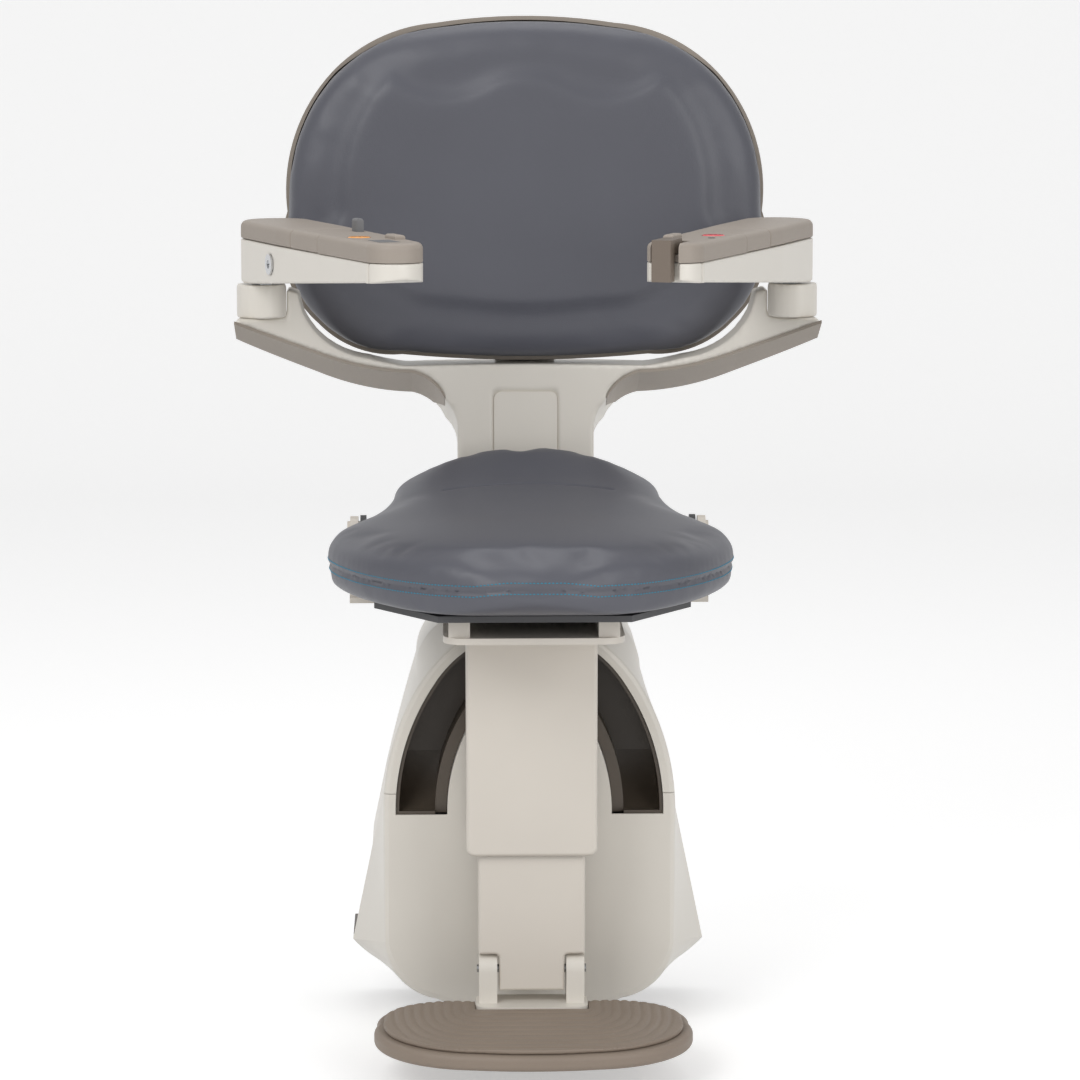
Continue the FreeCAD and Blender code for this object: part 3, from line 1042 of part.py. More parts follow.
for side, name in ((-1, "left"), (1, "right")):
    seat_place = Placement(Vector(side * read("arm_pivot_x"), read("arm_pivot_y"), pivot_z),
                           Rotation(Vector(0, 0, 1), -side * read("arm_turn")))

    def out(value0, value1):
        """Two distances outwards, as low and high X."""
        return sorted((side * value0, side * value1))

    slot_x = out(read("slot_inner"), read("slot_outer"))
    hinge_way = in_arm(slot_x[0], slot_x[1], -60, read("slot_reach"), -60, read("slot_reach"))
    pin_way = drum(-far, 0, 0, read("arm_pin") + 0.05, 2 * far, Vector(1, 0, 0))
    below = arm_full.common(in_arm(-far, far, -far, far, -far, arm_seam - arm_gap))
    below = below.cut(hinge_way).cut(drum(-read("arm_pin_half") - 0.3, 0, 0, read("arm_pin") + 0.05,
                                          2 * read("arm_pin_half") + 0.6, Vector(1, 0, 0)))
    above = arm_full.common(in_arm(-far, far, -far, far, arm_seam + arm_gap, far)).cut(hinge_way)
    top_edges = [edge for edge in above.Edges if edge.BoundBox.ZMin > read("arm_high") - 0.01]
    above = above.makeFillet(read("pad_edge"), top_edges)
    collar0, collar1, cap0 = read("collar_start"), read("collar_end"), read("cap_start")
    rear_pad = above.common(in_arm(-far, far, -far, collar0 - arm_gap, -far, far))
    collar = above.common(in_arm(-far, far, collar0 + arm_gap, collar1 - arm_gap, -far, far))
    control = above.common(in_arm(-far, far, collar1 + arm_gap, far, -far, far))
    high = read("arm_high")
    button_r, fit = read("button_radius"), read("button_fit")
    button_a = read("orange_forward") if side < 0 else read("red_forward")
    button_x = side * read("button_out")
    button_low = high + 0.6 - read("button_tall")
    control = control.cut(drum(button_x, -button_a, button_low - read("button_travel") - 0.5,
                               button_r + fit, 40, Vector(0, 0, 1)))
    button = drum(button_x, -button_a, button_low, button_r, read("button_tall"), Vector(0, 0, 1))
    button = button.makeFillet(2, [edge for edge in button.Edges if edge.BoundBox.ZMin > high])
    raised = in_arm(*out(-read("arm_half_front") + 5, -read("arm_half_front") + 15), 290, 318, high - 4,
                    high + 4)
    control = control.fuse(raised.makeFillet(2.5, [edge for edge in raised.Edges
                                                   if edge.BoundBox.ZMin > high]))
    extras = []
    if side < 0:
        half = read("display_half")
        span = out(read("display_out") - half, read("display_out") + half)
        start, end = read("display_start"), read("display_end")
        sink = high - read("display_sink")
        control = control.cut(in_arm(span[0] - 0.3, span[1] + 0.3, start - 0.3, end + 0.3, sink, high + 9))
        extras.append(("display_plate", in_arm(span[0], span[1], start, end, sink,
                                               sink + read("display_sink") + 0.2)))
        lever_a, lever_half = read("lever_forward"), read("lever_length") / 2
        lever_x = out(read("lever_out") - read("lever_wide") / 2, read("lever_out") + read("lever_wide") / 2)
        travel = read("lever_travel")
        lever_foot = high - 8
        collar = collar.cut(in_arm(lever_x[0] - 0.4, lever_x[1] + 0.4, lever_a - lever_half - 0.4,
                                   lever_a + lever_half + travel + 0.4, lever_foot - 0.4, high + 9))
        lever = in_arm(lever_x[0], lever_x[1], lever_a - lever_half, lever_a + lever_half, lever_foot,
                       lever_foot + 8 + read("lever_tall"))
        lever = lever.makeFillet(2.5, [edge for edge in lever.Edges
                                       if edge.BoundBox.ZMin > lever_foot + 4])
        extras.append(("lock_lever", lever))
        key_a, key_z, key_r = read("key_forward"), read("key_height"), read("key_radius")
        outwards = Vector(side, 0, 0)
        below = below.cut(drum(side * (rear_half - 14), -key_a, key_z, key_r + 0.05, 30, outwards))
        barrel = drum(side * (rear_half - 14), -key_a, key_z, key_r, 14.6, outwards)
        rotor_way = drum(side * (rear_half - 9), -key_a, key_z, read("key_rotor") + 0.05, 30, outwards)
        ring = drum(side * (rear_half + 0.3), -key_a, key_z, read("key_ring"), 1.8, outwards)
        extras.append(("key_barrel", barrel.fuse(ring).cut(rotor_way)))
        rotor = drum(side * (rear_half - 8.7), -key_a, key_z, read("key_rotor"), 9.6, outwards)
        slit = block(min(side * (rear_half - 2), side * (rear_half + 2)),
                     max(side * (rear_half - 2), side * (rear_half + 2)),
                     -key_a - 2.2, -key_a + 2.2, key_z - 0.6, key_z + 0.6)
        extras.append(("key_rotor", rotor.cut(slit)))
    else:
        window_x, window_a = side * read("window_out"), read("window_forward")
        window = drum(window_x, -window_a, high - 3, 3.5, 3.3, Vector(0, 0, 1))
        control = control.cut(drum(window_x, -window_a, high - 3, 3.6, 9, Vector(0, 0, 1)))
        extras.append(("sensor_window", window))
        toggle_a, toggle_x = read("toggle_forward"), side * read("toggle_out")
        toggle_half, tip_a = read("toggle_half"), read("toggle_tip")
        swing = math.radians(read("toggle_swing"))
        room = toggle_half + (tip_a - toggle_a) * math.sin(swing) + 1
        floor, pin_low = read("toggle_floor"), read("toggle_pin_low")
        pin_r = read("toggle_pin")
        notch = in_arm(toggle_x - room, toggle_x + room, toggle_a - toggle_half - 1.5, far, floor, far)
        notch = notch.fuse(in_arm(toggle_x - room, toggle_x + room, tip_a - 17, far, -6, 30))
        notch = notch.fuse(drum(toggle_x, -toggle_a, pin_low - 0.5, pin_r + 0.05, 10, Vector(0, 0, 1)))
        below, control = below.cut(notch), control.cut(notch)
        toggle = in_arm(toggle_x - toggle_half, toggle_x + toggle_half, toggle_a, tip_a, 20, high + 3)
        toggle = toggle.fuse(in_arm(toggle_x - toggle_half, toggle_x + toggle_half, tip_a - 13, tip_a,
                                    -5, 25))
        toggle = toggle.fuse(drum(toggle_x, -toggle_a, 20, toggle_half, high - 17, Vector(0, 0, 1)))
        toggle = toggle.fuse(drum(toggle_x, -toggle_a, pin_low, pin_r, 21 - pin_low, Vector(0, 0, 1)))
        extras.append(("drive_toggle", toggle.removeSplitter()))
    cap = below.common(in_arm(-far, far, cap0 + arm_gap, far, -far, far))
    below = below.common(in_arm(-far, far, -far, cap0 - arm_gap, -far, far))
    pieces = [("arm_shell", below), ("arm_end_cap", cap), ("arm_pad", rear_pad), ("arm_collar", collar),
              ("arm_control_housing", control)]
    for piece, form in pieces:
        shaped("%s_%s" % (name, piece), form, seat_place)
    shaped("orange_button" if side < 0 else "red_button", button, seat_place)
    for piece, form in extras:
        shaped(piece, form, seat_place)
    bar = drum(-read("arm_pin_half"), 0, 0, read("arm_pin"), 2 * read("arm_pin_half"), Vector(1, 0, 0))
    plate_x = out(read("knuckle_inner"), read("knuckle_outer"))
    knuckle_r = read("knuckle_radius")
    knuckle = drum(plate_x[0], 0, 0, knuckle_r, plate_x[1] - plate_x[0], Vector(1, 0, 0))
    knuckle = knuckle.fuse(in_arm(plate_x[0], plate_x[1], -knuckle_r, knuckle_r,
                                  read("post_top") - pivot_z, 0)).cut(pin_way)
    knuckles.append(knuckle.transformed(seat_place.Matrix))
    bars.append(bar.transformed(seat_place.Matrix))
    arm_posts.append(rod("z", side * read("post_x"), "#post_y", "#tip_seam", "#post_radius_arm",
                         "#post_top - #tip_seam", "Post"))
shaped("arm_hinge_pins", Part.makeCompound(bars))
shaped("arm_knuckles", Part.makeCompound(knuckles))
node(fused(*arm_posts, name="ArmPosts"), "arm_posts")

doc.recompute()
bad = [item.Name for item in doc.Objects if "Invalid" in item.State or "Error" in item.State]
if bad:
    raise RuntimeError("these objects failed: " + ", ".join(bad))
for item in nodes:
    if item.Shape.isNull() or not item.Shape.isValid():
        raise RuntimeError("no valid shape: " + item.Label)

os.makedirs("parts", exist_ok=True)
for item in nodes:
    item.Shape.exportStep(os.path.join("parts", item.Label + ".step"))
    print("%-26s solids %2d  volume %10.0f" % (item.Label, len(item.Shape.Solids), item.Shape.Volume))
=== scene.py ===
import math

import bmesh
import bpy
from mathutils import Matrix, Vector
from mathutils.bvhtree import BVHTree


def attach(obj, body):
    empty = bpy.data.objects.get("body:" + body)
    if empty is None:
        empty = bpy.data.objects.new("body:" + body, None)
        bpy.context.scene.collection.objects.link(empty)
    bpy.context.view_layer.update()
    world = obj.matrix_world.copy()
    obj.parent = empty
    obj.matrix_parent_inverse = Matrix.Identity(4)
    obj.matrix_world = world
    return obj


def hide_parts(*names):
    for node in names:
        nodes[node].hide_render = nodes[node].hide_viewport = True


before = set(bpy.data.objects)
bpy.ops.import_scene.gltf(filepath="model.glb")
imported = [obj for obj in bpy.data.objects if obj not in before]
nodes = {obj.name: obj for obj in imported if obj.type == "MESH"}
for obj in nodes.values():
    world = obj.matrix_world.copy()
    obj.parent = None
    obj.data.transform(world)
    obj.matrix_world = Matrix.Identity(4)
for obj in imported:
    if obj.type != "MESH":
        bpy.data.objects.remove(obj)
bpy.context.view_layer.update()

# Guide shoe and four rollers that grip the round rail.
# Turned and moulded nylon, pale and slightly waxy, pressed onto steel axles.
DRIFT_SCALE = 9
GRAIN_HEIGHT = 0.0004
GLOSS_SPREAD = 0.05


def moulded(name, rgb, rough, grain, depth, mottle=0.04, metal=0.0, coat=0.0):
    """A finish with a broad drift of shade and a fine grain."""
    finish = bpy.data.materials.new(name)
    finish.use_nodes = True
    tree = finish.node_tree
    shader = tree.nodes["Principled BSDF"]
    shader.inputs["Metallic"].default_value = metal
    shader.inputs["Coat Weight"].default_value = coat
    shader.inputs["Coat Roughness"].default_value = 0.25
    linear = [((c / 255 + 0.055) / 1.055) ** 2.4 for c in rgb]
    place = tree.nodes.new("ShaderNodeTexCoord")
    broad = tree.nodes.new("ShaderNodeTexNoise")
    broad.inputs["Scale"].default_value = DRIFT_SCALE
    broad.inputs["Detail"].default_value = 3
    shade = tree.nodes.new("ShaderNodeValToRGB")
    low, high = shade.color_ramp.elements
    low.position, high.position = 0.3, 0.7
    low.color = [c * (1 - mottle) for c in linear] + [1]
    high.color = [min(1, c * (1 + mottle)) for c in linear] + [1]
    fine = tree.nodes.new("ShaderNodeTexNoise")
    fine.inputs["Scale"].default_value = grain
    fine.inputs["Detail"].default_value = 2
    bump = tree.nodes.new("ShaderNodeBump")
    bump.inputs["Strength"].default_value = depth
    bump.inputs["Distance"].default_value = GRAIN_HEIGHT
    gloss = tree.nodes.new("ShaderNodeMapRange")
    gloss.inputs["From Min"].default_value = 0.35
    gloss.inputs["From Max"].default_value = 0.65
    gloss.inputs["To Min"].default_value = max(rough - GLOSS_SPREAD, 0.03)
    gloss.inputs["To Max"].default_value = rough + GLOSS_SPREAD
    link = tree.links.new
    link(place.outputs["Object"], broad.inputs["Vector"])
    link(place.outputs["Object"], fine.inputs["Vector"])
    link(broad.outputs["Fac"], shade.inputs["Fac"])
    link(shade.outputs["Color"], shader.inputs["Base Color"])
    link(fine.outputs["Fac"], bump.inputs["Height"])
    link(bump.outputs["Normal"], shader.inputs["Normal"])
    link(fine.outputs["Fac"], gloss.inputs["Value"])
    link(gloss.outputs["Result"], shader.inputs["Roughness"])
    return finish


def dress(finish, *names):
    """Puts a finish on CAD nodes, in their objects' own slots."""
    for name in names:
        node = nodes[name]
        if not node.material_slots:
            node.data.materials.append(None)
        for slot in node.material_slots:
            slot.link = "OBJECT"
            slot.material = finish


roller_nylon = moulded("roller_nylon", (214, 208, 192), 0.42, 700, 0.12)
guide_nylon = moulded("guide_nylon", (58, 58, 60), 0.45, 800, 0.15)
dress(roller_nylon, "upper_left_roller", "upper_right_roller", "lower_left_roller", "lower_right_roller")
dress(guide_nylon, "rail_guide_shoe")

# Axles, pinions, gear, shaft and hinge pins.
# Machined steel, bright and finely turned, pressed or keyed into their parts.
machined_steel = moulded("machined_steel", (176, 178, 180), 0.28, 1500, 0.10, 0.08, 1.0)
dress(machined_steel, "roller_axles", "drive_pinion", "levelling_pinion", "levelling_gear",
      "levelling_shaft", "footrest_hinge_pin", "arm_hinge_pins")

# Chassis plate, motor casings, column frame, back upright and seat pan.
# Pressed and welded steel with a dark powder coat.
powder_coat = moulded("powder_coat", (74, 74, 76), 0.5, 1100, 0.35)
dress(powder_coat, "chassis_plate", "drive_motor", "levelling_motor", "column_frame",
      "back_upright", "seat_pan")

# Gearbox casing, slide tube and arm knuckles.
# Cast and drawn aluminium with a fine blasted skin.
cast_aluminium = moulded("cast_aluminium", (188, 190, 192), 0.42, 1300, 0.3, 0.05, 1.0)
dress(cast_aluminium, "drive_gearbox", "slide_tube", "arm_knuckles")

# Battery packs and control board inside the carriage.
# Black moulded cases, and a green board with a matt resist.
battery_case = moulded("battery_case", (34, 34, 36), 0.5, 900, 0.2)
board_resist = moulded("board_resist", (24, 82, 52), 0.38, 260, 0.3, 0.25)
dress(battery_case, "battery_packs")
dress(board_resist, "control_board")

# Hood, front cover and upper rear panel of the carriage.
# Injection moulded cream plastic, satin, clipped together along a level split line.
cream = moulded("cream_plastic_finish", (226, 221, 212), 0.34, 1400, 0.06, 0.015)
dress(cream, "hood_cover", "front_cover", "upper_rear_panel")

# Liner of the arch-shaped recess, and the dark lower skirt at the rear.
# Brown-grey moulded plastic, screwed in from behind.
umber = moulded("umber_plastic", (86, 77, 67), 0.42, 1000, 0.14, 0.05)
dress(umber, "recess_liner", "lower_rear_cover")

# Upper and lower column covers, with the deck and seat hinge bracket above them.
# Two nested cream mouldings, and steel above painted to match.
column_cream = moulded("column_cream", (216, 209, 199), 0.36, 1400, 0.06, 0.015)
dress(column_cream, "upper_column_cover", "lower_column_cover", "swivel_deck", "seat_hinge_bracket")

# Footrest bracket and board.
# A cream forked bracket over a taupe moulded board, joined by a hinge pin.
foot_taupe = moulded("foot_taupe", (142, 128, 115), 0.55, 800, 0.3, 0.04)
dress(cream, "footrest_bracket")
dress(foot_taupe, "footrest_board")

# Footrest mat with nine U-shaped grooves round the bracket.
# Moulded rubber, glued into the board.
MAT_VOXEL = 0.0016
MAT_PITCHES = 9.5
MAT_FIRST = 0.6
MAT_GROOVE = 0.0013
MAT_GROOVE_SHARE = 0.17
MAT_INNER_SIDE, MAT_SIDE_RUN = 0.048, 0.090
MAT_INNER_FRONT, MAT_FRONT_RUN = -0.238, 0.156
MAT_CORNER = 2.6
TOP_FACING = 0.7


def settle(piece):
    """Applies a piece's modifiers and shades it smooth."""
    graph = bpy.context.evaluated_depsgraph_get()
    graph.update()
    made = bpy.data.meshes.new_from_object(piece.evaluated_get(graph))
    piece.modifiers.clear()
    piece.data = made
    for face in made.polygons:
        face.use_smooth = True


def rounded_copy(name, source, voxel, rounds):
    """A merged copy of a CAD node, remeshed and with its hard edges rounded."""
    piece = bpy.data.objects.new(name, nodes[source].data.copy())
    bpy.context.scene.collection.objects.link(piece)
    shape = bmesh.new()
    shape.from_mesh(piece.data)
    bmesh.ops.remove_doubles(shape, verts=shape.verts, dist=1e-5)
    shape.to_mesh(piece.data)
    shape.free()
    remesh = piece.modifiers.new("remesh", "REMESH")
    remesh.mode = "VOXEL"
    remesh.voxel_size = voxel
    round_off = piece.modifiers.new("round_off", "SMOOTH")
    round_off.factor = 0.5
    round_off.iterations = rounds
    settle(piece)
    return piece


def stand_in(piece, source, body, finish):
    """Gives a piece its finish and its body, in place of a CAD node."""
    piece.data.materials.clear()
    piece.data.materials.append(finish)
    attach(piece, body)
    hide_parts(source)


def softened(name, source, body, finish, voxel, rounds):
    """A rounded copy of a CAD moulding that stands in for it."""
    piece = rounded_copy(name, source, voxel, rounds)
    stand_in(piece, source, body, finish)
    return piece


mat = softened("ribbed_mat", "footrest_mat", "footrest", foot_taupe, MAT_VOXEL, 2)
facing = [v.normal.z for v in mat.data.vertices]
for v, up in zip(mat.data.vertices, facing):
    if up > TOP_FACING:
        side = max(abs(v.co.x) - MAT_INNER_SIDE, 0) / MAT_SIDE_RUN
        ahead = max(MAT_INNER_FRONT - v.co.y, 0) / MAT_FRONT_RUN
        reach = (side ** MAT_CORNER + ahead ** MAT_CORNER) ** (1 / MAT_CORNER) * MAT_PITCHES
        off = abs(reach - round(reach))
        if MAT_FIRST < reach < MAT_PITCHES:
            v.co.z -= MAT_GROOVE * math.exp(-((off / MAT_GROOVE_SHARE) ** 2))

# Yoke that holds the backrest, with the panel on its neck, the wing covers and the back shell.
# One large cream moulding over a steel upright, with thin taupe mouldings clipped behind and below.
YOKE_VOXEL = 0.0028
taupe = moulded("taupe_plastic_finish", (158, 148, 137), 0.5, 900, 0.22, 0.03)
softened("soft_yoke", "yoke", "chair", cream, YOKE_VOXEL, 4)
dress(cream, "neck_panel")
dress(taupe, "wing_covers", "back_shell")

# Posts that carry the armrests at the wing tips.
# Short cream mouldings, seated on the wings.
POST_VOXEL = 0.002
softened("soft_posts", "arm_posts", "chair", cream, POST_VOXEL, 3)

# Backrest cushion.
# Foam on a board under dark grey grained vinyl, pulled tight over its rounded rim.
PAD_VOXEL = 0.005
PAD_CALM, PAD_RELAX = 16, 8
PAD_PRESSURE = 4
PAD_FRAMES = 20
PAD_INSET = 0.0015
BACK_SWELL = 0.003
PEBBLE_SCALE = 620
PEBBLE_HEIGHT = 0.0005


def grained(name, rgb):
    """Vinyl with a pebbled grain, tiny pores and a faint drift of shade."""
    finish = moulded(name, rgb, 0.42, 2600, 0.10, 0.03)
    tree = finish.node_tree
    shader = tree.nodes["Principled BSDF"]
    place = next(n for n in tree.nodes if n.type == "TEX_COORD")
    first = next(n for n in tree.nodes if n.type == "BUMP")
    pebble = tree.nodes.new("ShaderNodeTexVoronoi")
    pebble.feature = "DISTANCE_TO_EDGE"
    pebble.inputs["Scale"].default_value = PEBBLE_SCALE
    second = tree.nodes.new("ShaderNodeBump")
    second.inputs["Strength"].default_value = 0.22
    second.inputs["Distance"].default_value = PEBBLE_HEIGHT
    tree.links.new(place.outputs["Object"], pebble.inputs["Vector"])
    tree.links.new(pebble.outputs["Distance"], second.inputs["Height"])
    tree.links.new(first.outputs["Normal"], second.inputs["Normal"])
    tree.links.new(second.outputs["Normal"], shader.inputs["Normal"])
    return finish


def swell(piece, normals, cap, held):
    """Swells a pad by cloth simulation, and lets no point move further than the cap."""
    still = piece.vertex_groups.new(name="still")
    for v, normal in zip(piece.data.vertices, normals):
        if held(normal):
            still.add([v.index], 1.0, "REPLACE")
    start = [v.co.copy() for v in piece.data.vertices]
    cloth = piece.modifiers.new("swell", "CLOTH")
    cloth.settings.quality = 5
    cloth.settings.use_pressure = True
    cloth.settings.uniform_pressure_force = PAD_PRESSURE
    cloth.settings.effector_weights.gravity = 0
    cloth.settings.vertex_group_mass = "still"
    cloth.point_cache.frame_start = 1
    cloth.point_cache.frame_end = PAD_FRAMES
    for number in range(1, PAD_FRAMES + 1):
        bpy.context.scene.frame_set(number)
    graph = bpy.context.evaluated_depsgraph_get()
    swollen = piece.evaluated_get(graph).to_mesh()
    moved = [v.co.copy() for v in swollen.vertices]
    piece.evaluated_get(graph).to_mesh_clear()
    piece.modifiers.clear()
    piece.vertex_groups.clear()
    for v, old, new in zip(piece.data.vertices, start, moved):
        step = new - old
        if step.length > cap:
            step *= cap / step.length
        v.co = old + step
    bpy.context.scene.frame_set(1)


def stuffed(name, source, body, finish, cap, held):
    """A cushion swollen from a slightly smaller copy of its CAD form."""
    piece = rounded_copy(name, source, PAD_VOXEL, PAD_CALM)
    normals = [v.normal.copy() for v in piece.data.vertices]
    for v, normal in zip(piece.data.vertices, normals):
        v.co -= normal * PAD_INSET
    swell(piece, normals, cap, held)
    relax = piece.modifiers.new("relax", "SMOOTH")
    relax.factor = 0.5
    relax.iterations = PAD_RELAX
    finer = piece.modifiers.new("finer", "SUBSURF")
    finer.levels = 1
    finer.render_levels = 1
    settle(piece)
    stand_in(piece, source, body, finish)
    return piece


vinyl = grained("grained_vinyl", (88, 89, 97))
back_pad = stuffed("back_pad", "back_cushion", "chair", vinyl, BACK_SWELL, lambda normal: normal.y > 0.6)

# Seat cushion with a sewn rim.
# Foam under the same vinyl: the top panel and the border meet in a sunk seam.
# A sewn crease crosses the raised rear half.
SEAT_SWELL = 0.004
SEAM_HEIGHTS = ((-0.400, 0.360), (-0.392, 0.356), (-0.370, 0.355), (-0.170, 0.355), (-0.110, 0.358),
                (-0.060, 0.364), (-0.022, 0.374), (0.001, 0.388))
SEAM_DEPTH, SEAM_WIDTH, SEAM_REACH, SEAM_SNAP = 0.0022, 0.0019, 0.006, 0.0013
SEAM_REAR = -0.015
CREASE_Y, CREASE_HALF = -0.090, 0.084
CREASE_DEPTH, CREASE_WIDTH, CREASE_REACH = 0.0012, 0.0016, 0.0035


def seam_height(y):
    """Height of the rim seam at a place along the seat."""
    if y <= SEAM_HEIGHTS[0][0]:
        return SEAM_HEIGHTS[0][1]
    for (y0, z0), (y1, z1) in zip(SEAM_HEIGHTS, SEAM_HEIGHTS[1:]):
        if y <= y1:
            return z0 + (z1 - z0) * (y - y0) / (y1 - y0)
    return SEAM_HEIGHTS[-1][1]


seat_pad = stuffed("seat_pad", "seat_cushion", "seat", vinyl, SEAT_SWELL, lambda normal: normal.z < -0.6)
facing = [v.normal.copy() for v in seat_pad.data.vertices]
for v, normal in zip(seat_pad.data.vertices, facing):
    off = v.co.z - seam_height(v.co.y)
    flat = math.hypot(normal.x, normal.y)
    past = v.co.y - CREASE_Y
    if abs(off) < SEAM_REACH and flat > 0.5 and v.co.y < SEAM_REAR:
        push = SEAM_DEPTH * math.exp(-((off / SEAM_WIDTH) ** 2))
        v.co.x -= normal.x * push
        v.co.y -= normal.y * push
        if abs(off) < SEAM_SNAP:
            v.co.z -= off
    elif normal.z > 0.5 and abs(past) < CREASE_REACH and abs(v.co.x) < CREASE_HALF:
        v.co.z -= CREASE_DEPTH * math.exp(-((past / CREASE_WIDTH) ** 2))

# Thread of the rim seam.
# Teal polyester, two rows of short stitches sunk in the vinyl.
THREAD_PITCH = 0.0036
THREAD_LIFTS = (0.0052, -0.0046)
STITCH = (0.0013, 0.00052, 0.00045, 1)
STITCH_PROUD = 0.0001
RIM_MIDDLE = -0.170
RIM_HALF, RIM_FRONT, RIM_NARROWING = 0.200, 0.232, 0.062
RIM_TAIL, RIM_TAIL_END = 0.172, -0.020
RIM_SIDE_STEPS, RIM_FRONT_STEPS = 40, 240
teal = moulded("teal_thread", (10, 138, 172), 0.6, 3000, 0.4, 0.12)
skin = BVHTree.FromPolygons([v.co for v in seat_pad.data.vertices],
                            [tuple(p.vertices) for p in seat_pad.data.polygons])
side_run = RIM_TAIL_END - RIM_MIDDLE
rim = [(RIM_HALF - RIM_NARROWING * math.sin((y - RIM_MIDDLE) / RIM_TAIL * math.pi / 2) ** 1.4, y)
       for y in (RIM_TAIL_END - side_run * i / RIM_SIDE_STEPS for i in range(RIM_SIDE_STEPS))]
rim += [(RIM_HALF * math.cos(a), RIM_MIDDLE - RIM_FRONT * math.sin(a))
        for a in (math.pi * i / RIM_FRONT_STEPS for i in range(RIM_FRONT_STEPS + 1))]
rim += [(-x, y) for x, y in reversed(rim[:RIM_SIDE_STEPS])]
thread = bmesh.new()


def stitch(x, y, lift, heading):
    """Sinks one stitch into the skin beside the seam, if the skin is there."""
    out = Vector((x, y - RIM_MIDDLE if y < RIM_MIDDLE else 0.0, 0)).normalized()
    begin = Vector((x, y, seam_height(y) + lift)) + out * 0.05
    hit, normal = skin.ray_cast(begin, -out, 0.12)[:2]
    if hit is None:
        return
    along = (heading - normal * heading.dot(normal)).normalized()
    across = normal.cross(along)
    turn = Matrix((along, across, normal)).transposed().to_4x4()
    spot = Matrix.Translation(hit + normal * STITCH_PROUD) @ turn @ Matrix.Diagonal(STITCH)
    bmesh.ops.create_uvsphere(thread, u_segments=6, v_segments=4, radius=1, matrix=spot)


def placed(name, shape):
    """Makes a smooth object of a finished bmesh."""
    mesh = bpy.data.meshes.new(name)
    shape.to_mesh(mesh)
    shape.free()
    for face in mesh.polygons:
        face.use_smooth = True
    piece = bpy.data.objects.new(name, mesh)
    bpy.context.scene.collection.objects.link(piece)
    return piece


for lift in THREAD_LIFTS:
    walked, due = 0.0, 0.0
    for (x0, y0), (x1, y1) in zip(rim, rim[1:]):
        run = math.hypot(x1 - x0, y1 - y0)
        while run > 1e-7 and due <= walked + run:
            t = (due - walked) / run
            heading = Vector(((x1 - x0) / run, (y1 - y0) / run, 0))
            stitch(x0 + (x1 - x0) * t, y0 + (y1 - y0) * t, lift, heading)
            due += THREAD_PITCH
        walked += run
rim_thread = placed("rim_thread", thread)
rim_thread.data.materials.append(teal)
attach(rim_thread, "seat")

# Left and right armrests: cream shell and end cap below, taupe pad, collar and control housing above.
# Moulded halves that meet in a fine seam, hinged on the posts.
ARM_VOXEL, ARM_FINE_VOXEL = 0.0020, 0.0016
pad_taupe = moulded("pad_taupe", (160, 150, 140), 0.52, 1500, 0.35, 0.025)
ARM_PARTS = (("shell", "cream_plastic", cream, ARM_VOXEL, 2),
             ("end_cap", "cream_plastic", cream, ARM_FINE_VOXEL, 2),
             ("pad", "taupe_plastic", pad_taupe, ARM_VOXEL, 3),
             ("collar", "taupe_plastic", pad_taupe, ARM_FINE_VOXEL, 2))
for side in ("left", "right"):
    for part, slot, finish, voxel, rounds in ARM_PARTS:
        name, source = "soft_" + side + "_" + part, side + "_arm_" + part
        softened(name, source, side + "_arm", finish, voxel, rounds)
    dress(pad_taupe, side + "_arm_control_housing")

# Hooked drive toggle in the front of the right armrest.
# A darker taupe moulding on a steel pivot pin, held in its housing.
toggle_taupe = moulded("toggle_taupe", (118, 106, 95), 0.45, 1200, 0.25)
dress(toggle_taupe, "drive_toggle")

# Buttons, keypad plate, lever, key switch and sensor window.
# Glossy lenses, a matt grey plate, a moulded lever and a chromed lock, snapped into the housings.
orange_lens = moulded("orange_lens", (250, 160, 30), 0.25, 300, 0.05, 0.1, 0.0, 0.5)
red_lens = moulded("red_lens", (235, 60, 70), 0.25, 300, 0.05, 0.1, 0.0, 0.5)
grey_plastic = moulded("grey_plastic_finish", (112, 112, 114), 0.45, 1200, 0.2)
chromed = moulded("chromed", (205, 206, 208), 0.12, 2500, 0.05, 0.03, 1.0)
window_dark = moulded("window_dark", (16, 18, 26), 0.12, 500, 0.03, 0.1, 0.0, 0.6)
dress(orange_lens, "orange_button")
dress(red_lens, "red_button")
dress(grey_plastic, "display_plate", "lock_lever")
dress(chromed, "key_barrel", "key_rotor")
dress(window_dark, "sensor_window")

# Floor and backdrop: one sheet of plain, matt white paper, which isn't part of the object.
# It runs up behind in a curve and keeps the object's shadow.
FLOOR_Z = -0.126
SWEEP_HALF, SWEEP_SHIFT, SWEEP_RADIUS, SWEEP_RISE = 6, -2, 1.5, 6
PAPER_GLOW = 0.42
sweep = bmesh.new()
laid = Matrix.Translation((0, SWEEP_SHIFT, FLOOR_Z))
bmesh.ops.create_grid(sweep, x_segments=1, y_segments=1, size=SWEEP_HALF, matrix=laid)
back = SWEEP_HALF + SWEEP_SHIFT
centre = (0, back, FLOOR_Z + SWEEP_RADIUS)
back_edge = [e for e in sweep.edges if all(v.co.y > back - 0.1 for v in e.verts)]
bmesh.ops.spin(sweep, geom=back_edge, cent=centre, axis=(1, 0, 0), angle=math.pi / 2, steps=16)
top_edge = [e for e in sweep.edges if all(v.co.z > centre[2] - 0.004 for v in e.verts)]
raised = bmesh.ops.extrude_edge_only(sweep, edges=top_edge)
risen = [v for v in raised["geom"] if isinstance(v, bmesh.types.BMVert)]
bmesh.ops.translate(sweep, verts=risen, vec=(0, 0, SWEEP_RISE))
floor = placed("sweep", sweep)
paper = bpy.data.materials.new("paper")
paper.use_nodes = True
tree = paper.node_tree
tree.nodes.remove(tree.nodes["Principled BSDF"])
matt = tree.nodes.new("ShaderNodeBsdfDiffuse")
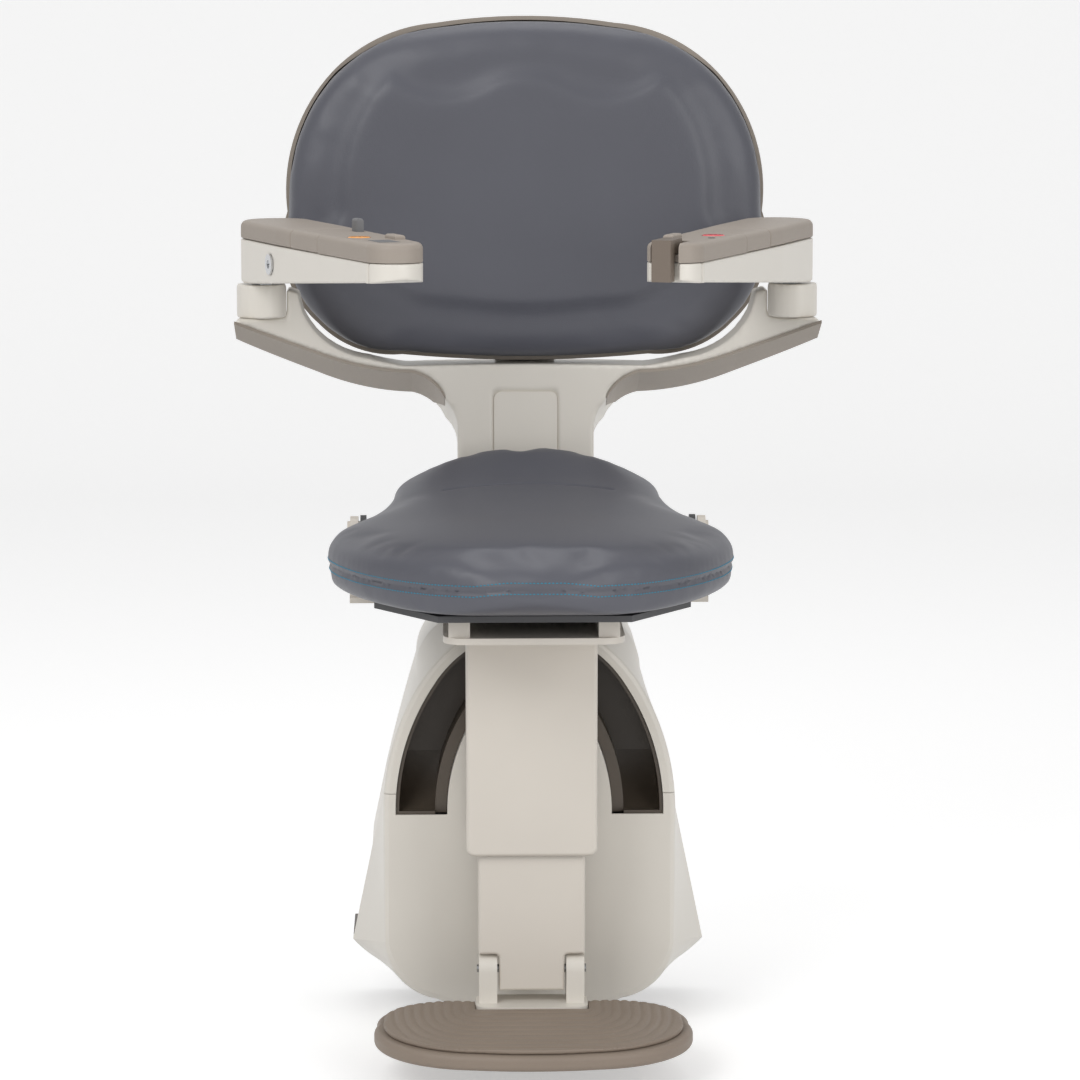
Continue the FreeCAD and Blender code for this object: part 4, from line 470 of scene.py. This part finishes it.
matt.inputs["Color"].default_value = (0.8, 0.8, 0.8, 1)
glow = tree.nodes.new("ShaderNodeEmission")
rays = tree.nodes.new("ShaderNodeLightPath")
seen = tree.nodes.new("ShaderNodeMath")
seen.operation = "ADD"
seen_too = tree.nodes.new("ShaderNodeMath")
seen_too.operation = "ADD"
share = tree.nodes.new("ShaderNodeMath")
share.operation = "MULTIPLY"
share.inputs[1].default_value = PAPER_GLOW
both = tree.nodes.new("ShaderNodeAddShader")
tree.links.new(rays.outputs["Is Camera Ray"], seen.inputs[0])
tree.links.new(rays.outputs["Is Glossy Ray"], seen.inputs[1])
tree.links.new(seen.outputs[0], seen_too.inputs[0])
tree.links.new(rays.outputs["Is Transmission Ray"], seen_too.inputs[1])
tree.links.new(seen_too.outputs[0], share.inputs[0])
tree.links.new(share.outputs[0], glow.inputs["Strength"])
tree.links.new(matt.outputs[0], both.inputs[0])
tree.links.new(glow.outputs[0], both.inputs[1])
tree.links.new(both.outputs[0], tree.nodes["Material Output"].inputs["Surface"])
floor.data.materials.append(paper)

# Studio light: a soft even sky, which the camera sees as plain white, and three large lamps.
# The key stands at the front left, the fill at the front right and the crown above.
SKY_LEVEL = 0.55
LAMP_AIM = (0, -0.15, 0.4)
LAMPS = (("key", (-1.6, -2.6, 2.3), 38, 1.6), ("fill", (2.0, -2.6, 1.2), 24, 1.8),
         ("crown", (0.0, 0.4, 2.8), 14, 1.6))
world = bpy.data.worlds.new("studio")
bpy.context.scene.world = world
world.use_nodes = True
tree = world.node_tree
sky = tree.nodes["Background"]
sky.inputs["Color"].default_value = (1, 1, 1, 1)
sky.inputs["Strength"].default_value = SKY_LEVEL
white = tree.nodes.new("ShaderNodeBackground")
white.inputs["Color"].default_value = (1, 1, 1, 1)
white.inputs["Strength"].default_value = 1
rays = tree.nodes.new("ShaderNodeLightPath")
pick = tree.nodes.new("ShaderNodeMixShader")
tree.links.new(rays.outputs["Is Camera Ray"], pick.inputs["Fac"])
tree.links.new(sky.outputs[0], pick.inputs[1])
tree.links.new(white.outputs[0], pick.inputs[2])
tree.links.new(pick.outputs[0], tree.nodes["World Output"].inputs["Surface"])


def aimed(holder, spot, aim):
    """Stands a lamp or a camera at a spot and turns it to what it looks at."""
    bpy.context.scene.collection.objects.link(holder)
    holder.location = spot
    holder.rotation_euler = (Vector(aim) - holder.location).to_track_quat("-Z", "Y").to_euler()


for name, spot, power, size in LAMPS:
    lamp = bpy.data.lights.new(name, "AREA")
    lamp.energy = power
    lamp.size = size
    aimed(bpy.data.objects.new(name, lamp), spot, LAMP_AIM)

# Camera at the photograph's angle, a little above the seat and almost straight on.
# A long lens, as in the photograph, whose lines hardly converge.
lens = bpy.data.cameras.new("camera")
lens.lens = 140
lens.sensor_width = 36
camera = bpy.data.objects.new("camera", lens)
aimed(camera, (-0.0925, -4.1893, 0.9387), (0.009, -0.180, 0.375))
bpy.context.scene.camera = camera
bpy.context.scene.view_settings.view_transform = "Standard"

bpy.context.view_layer.update()
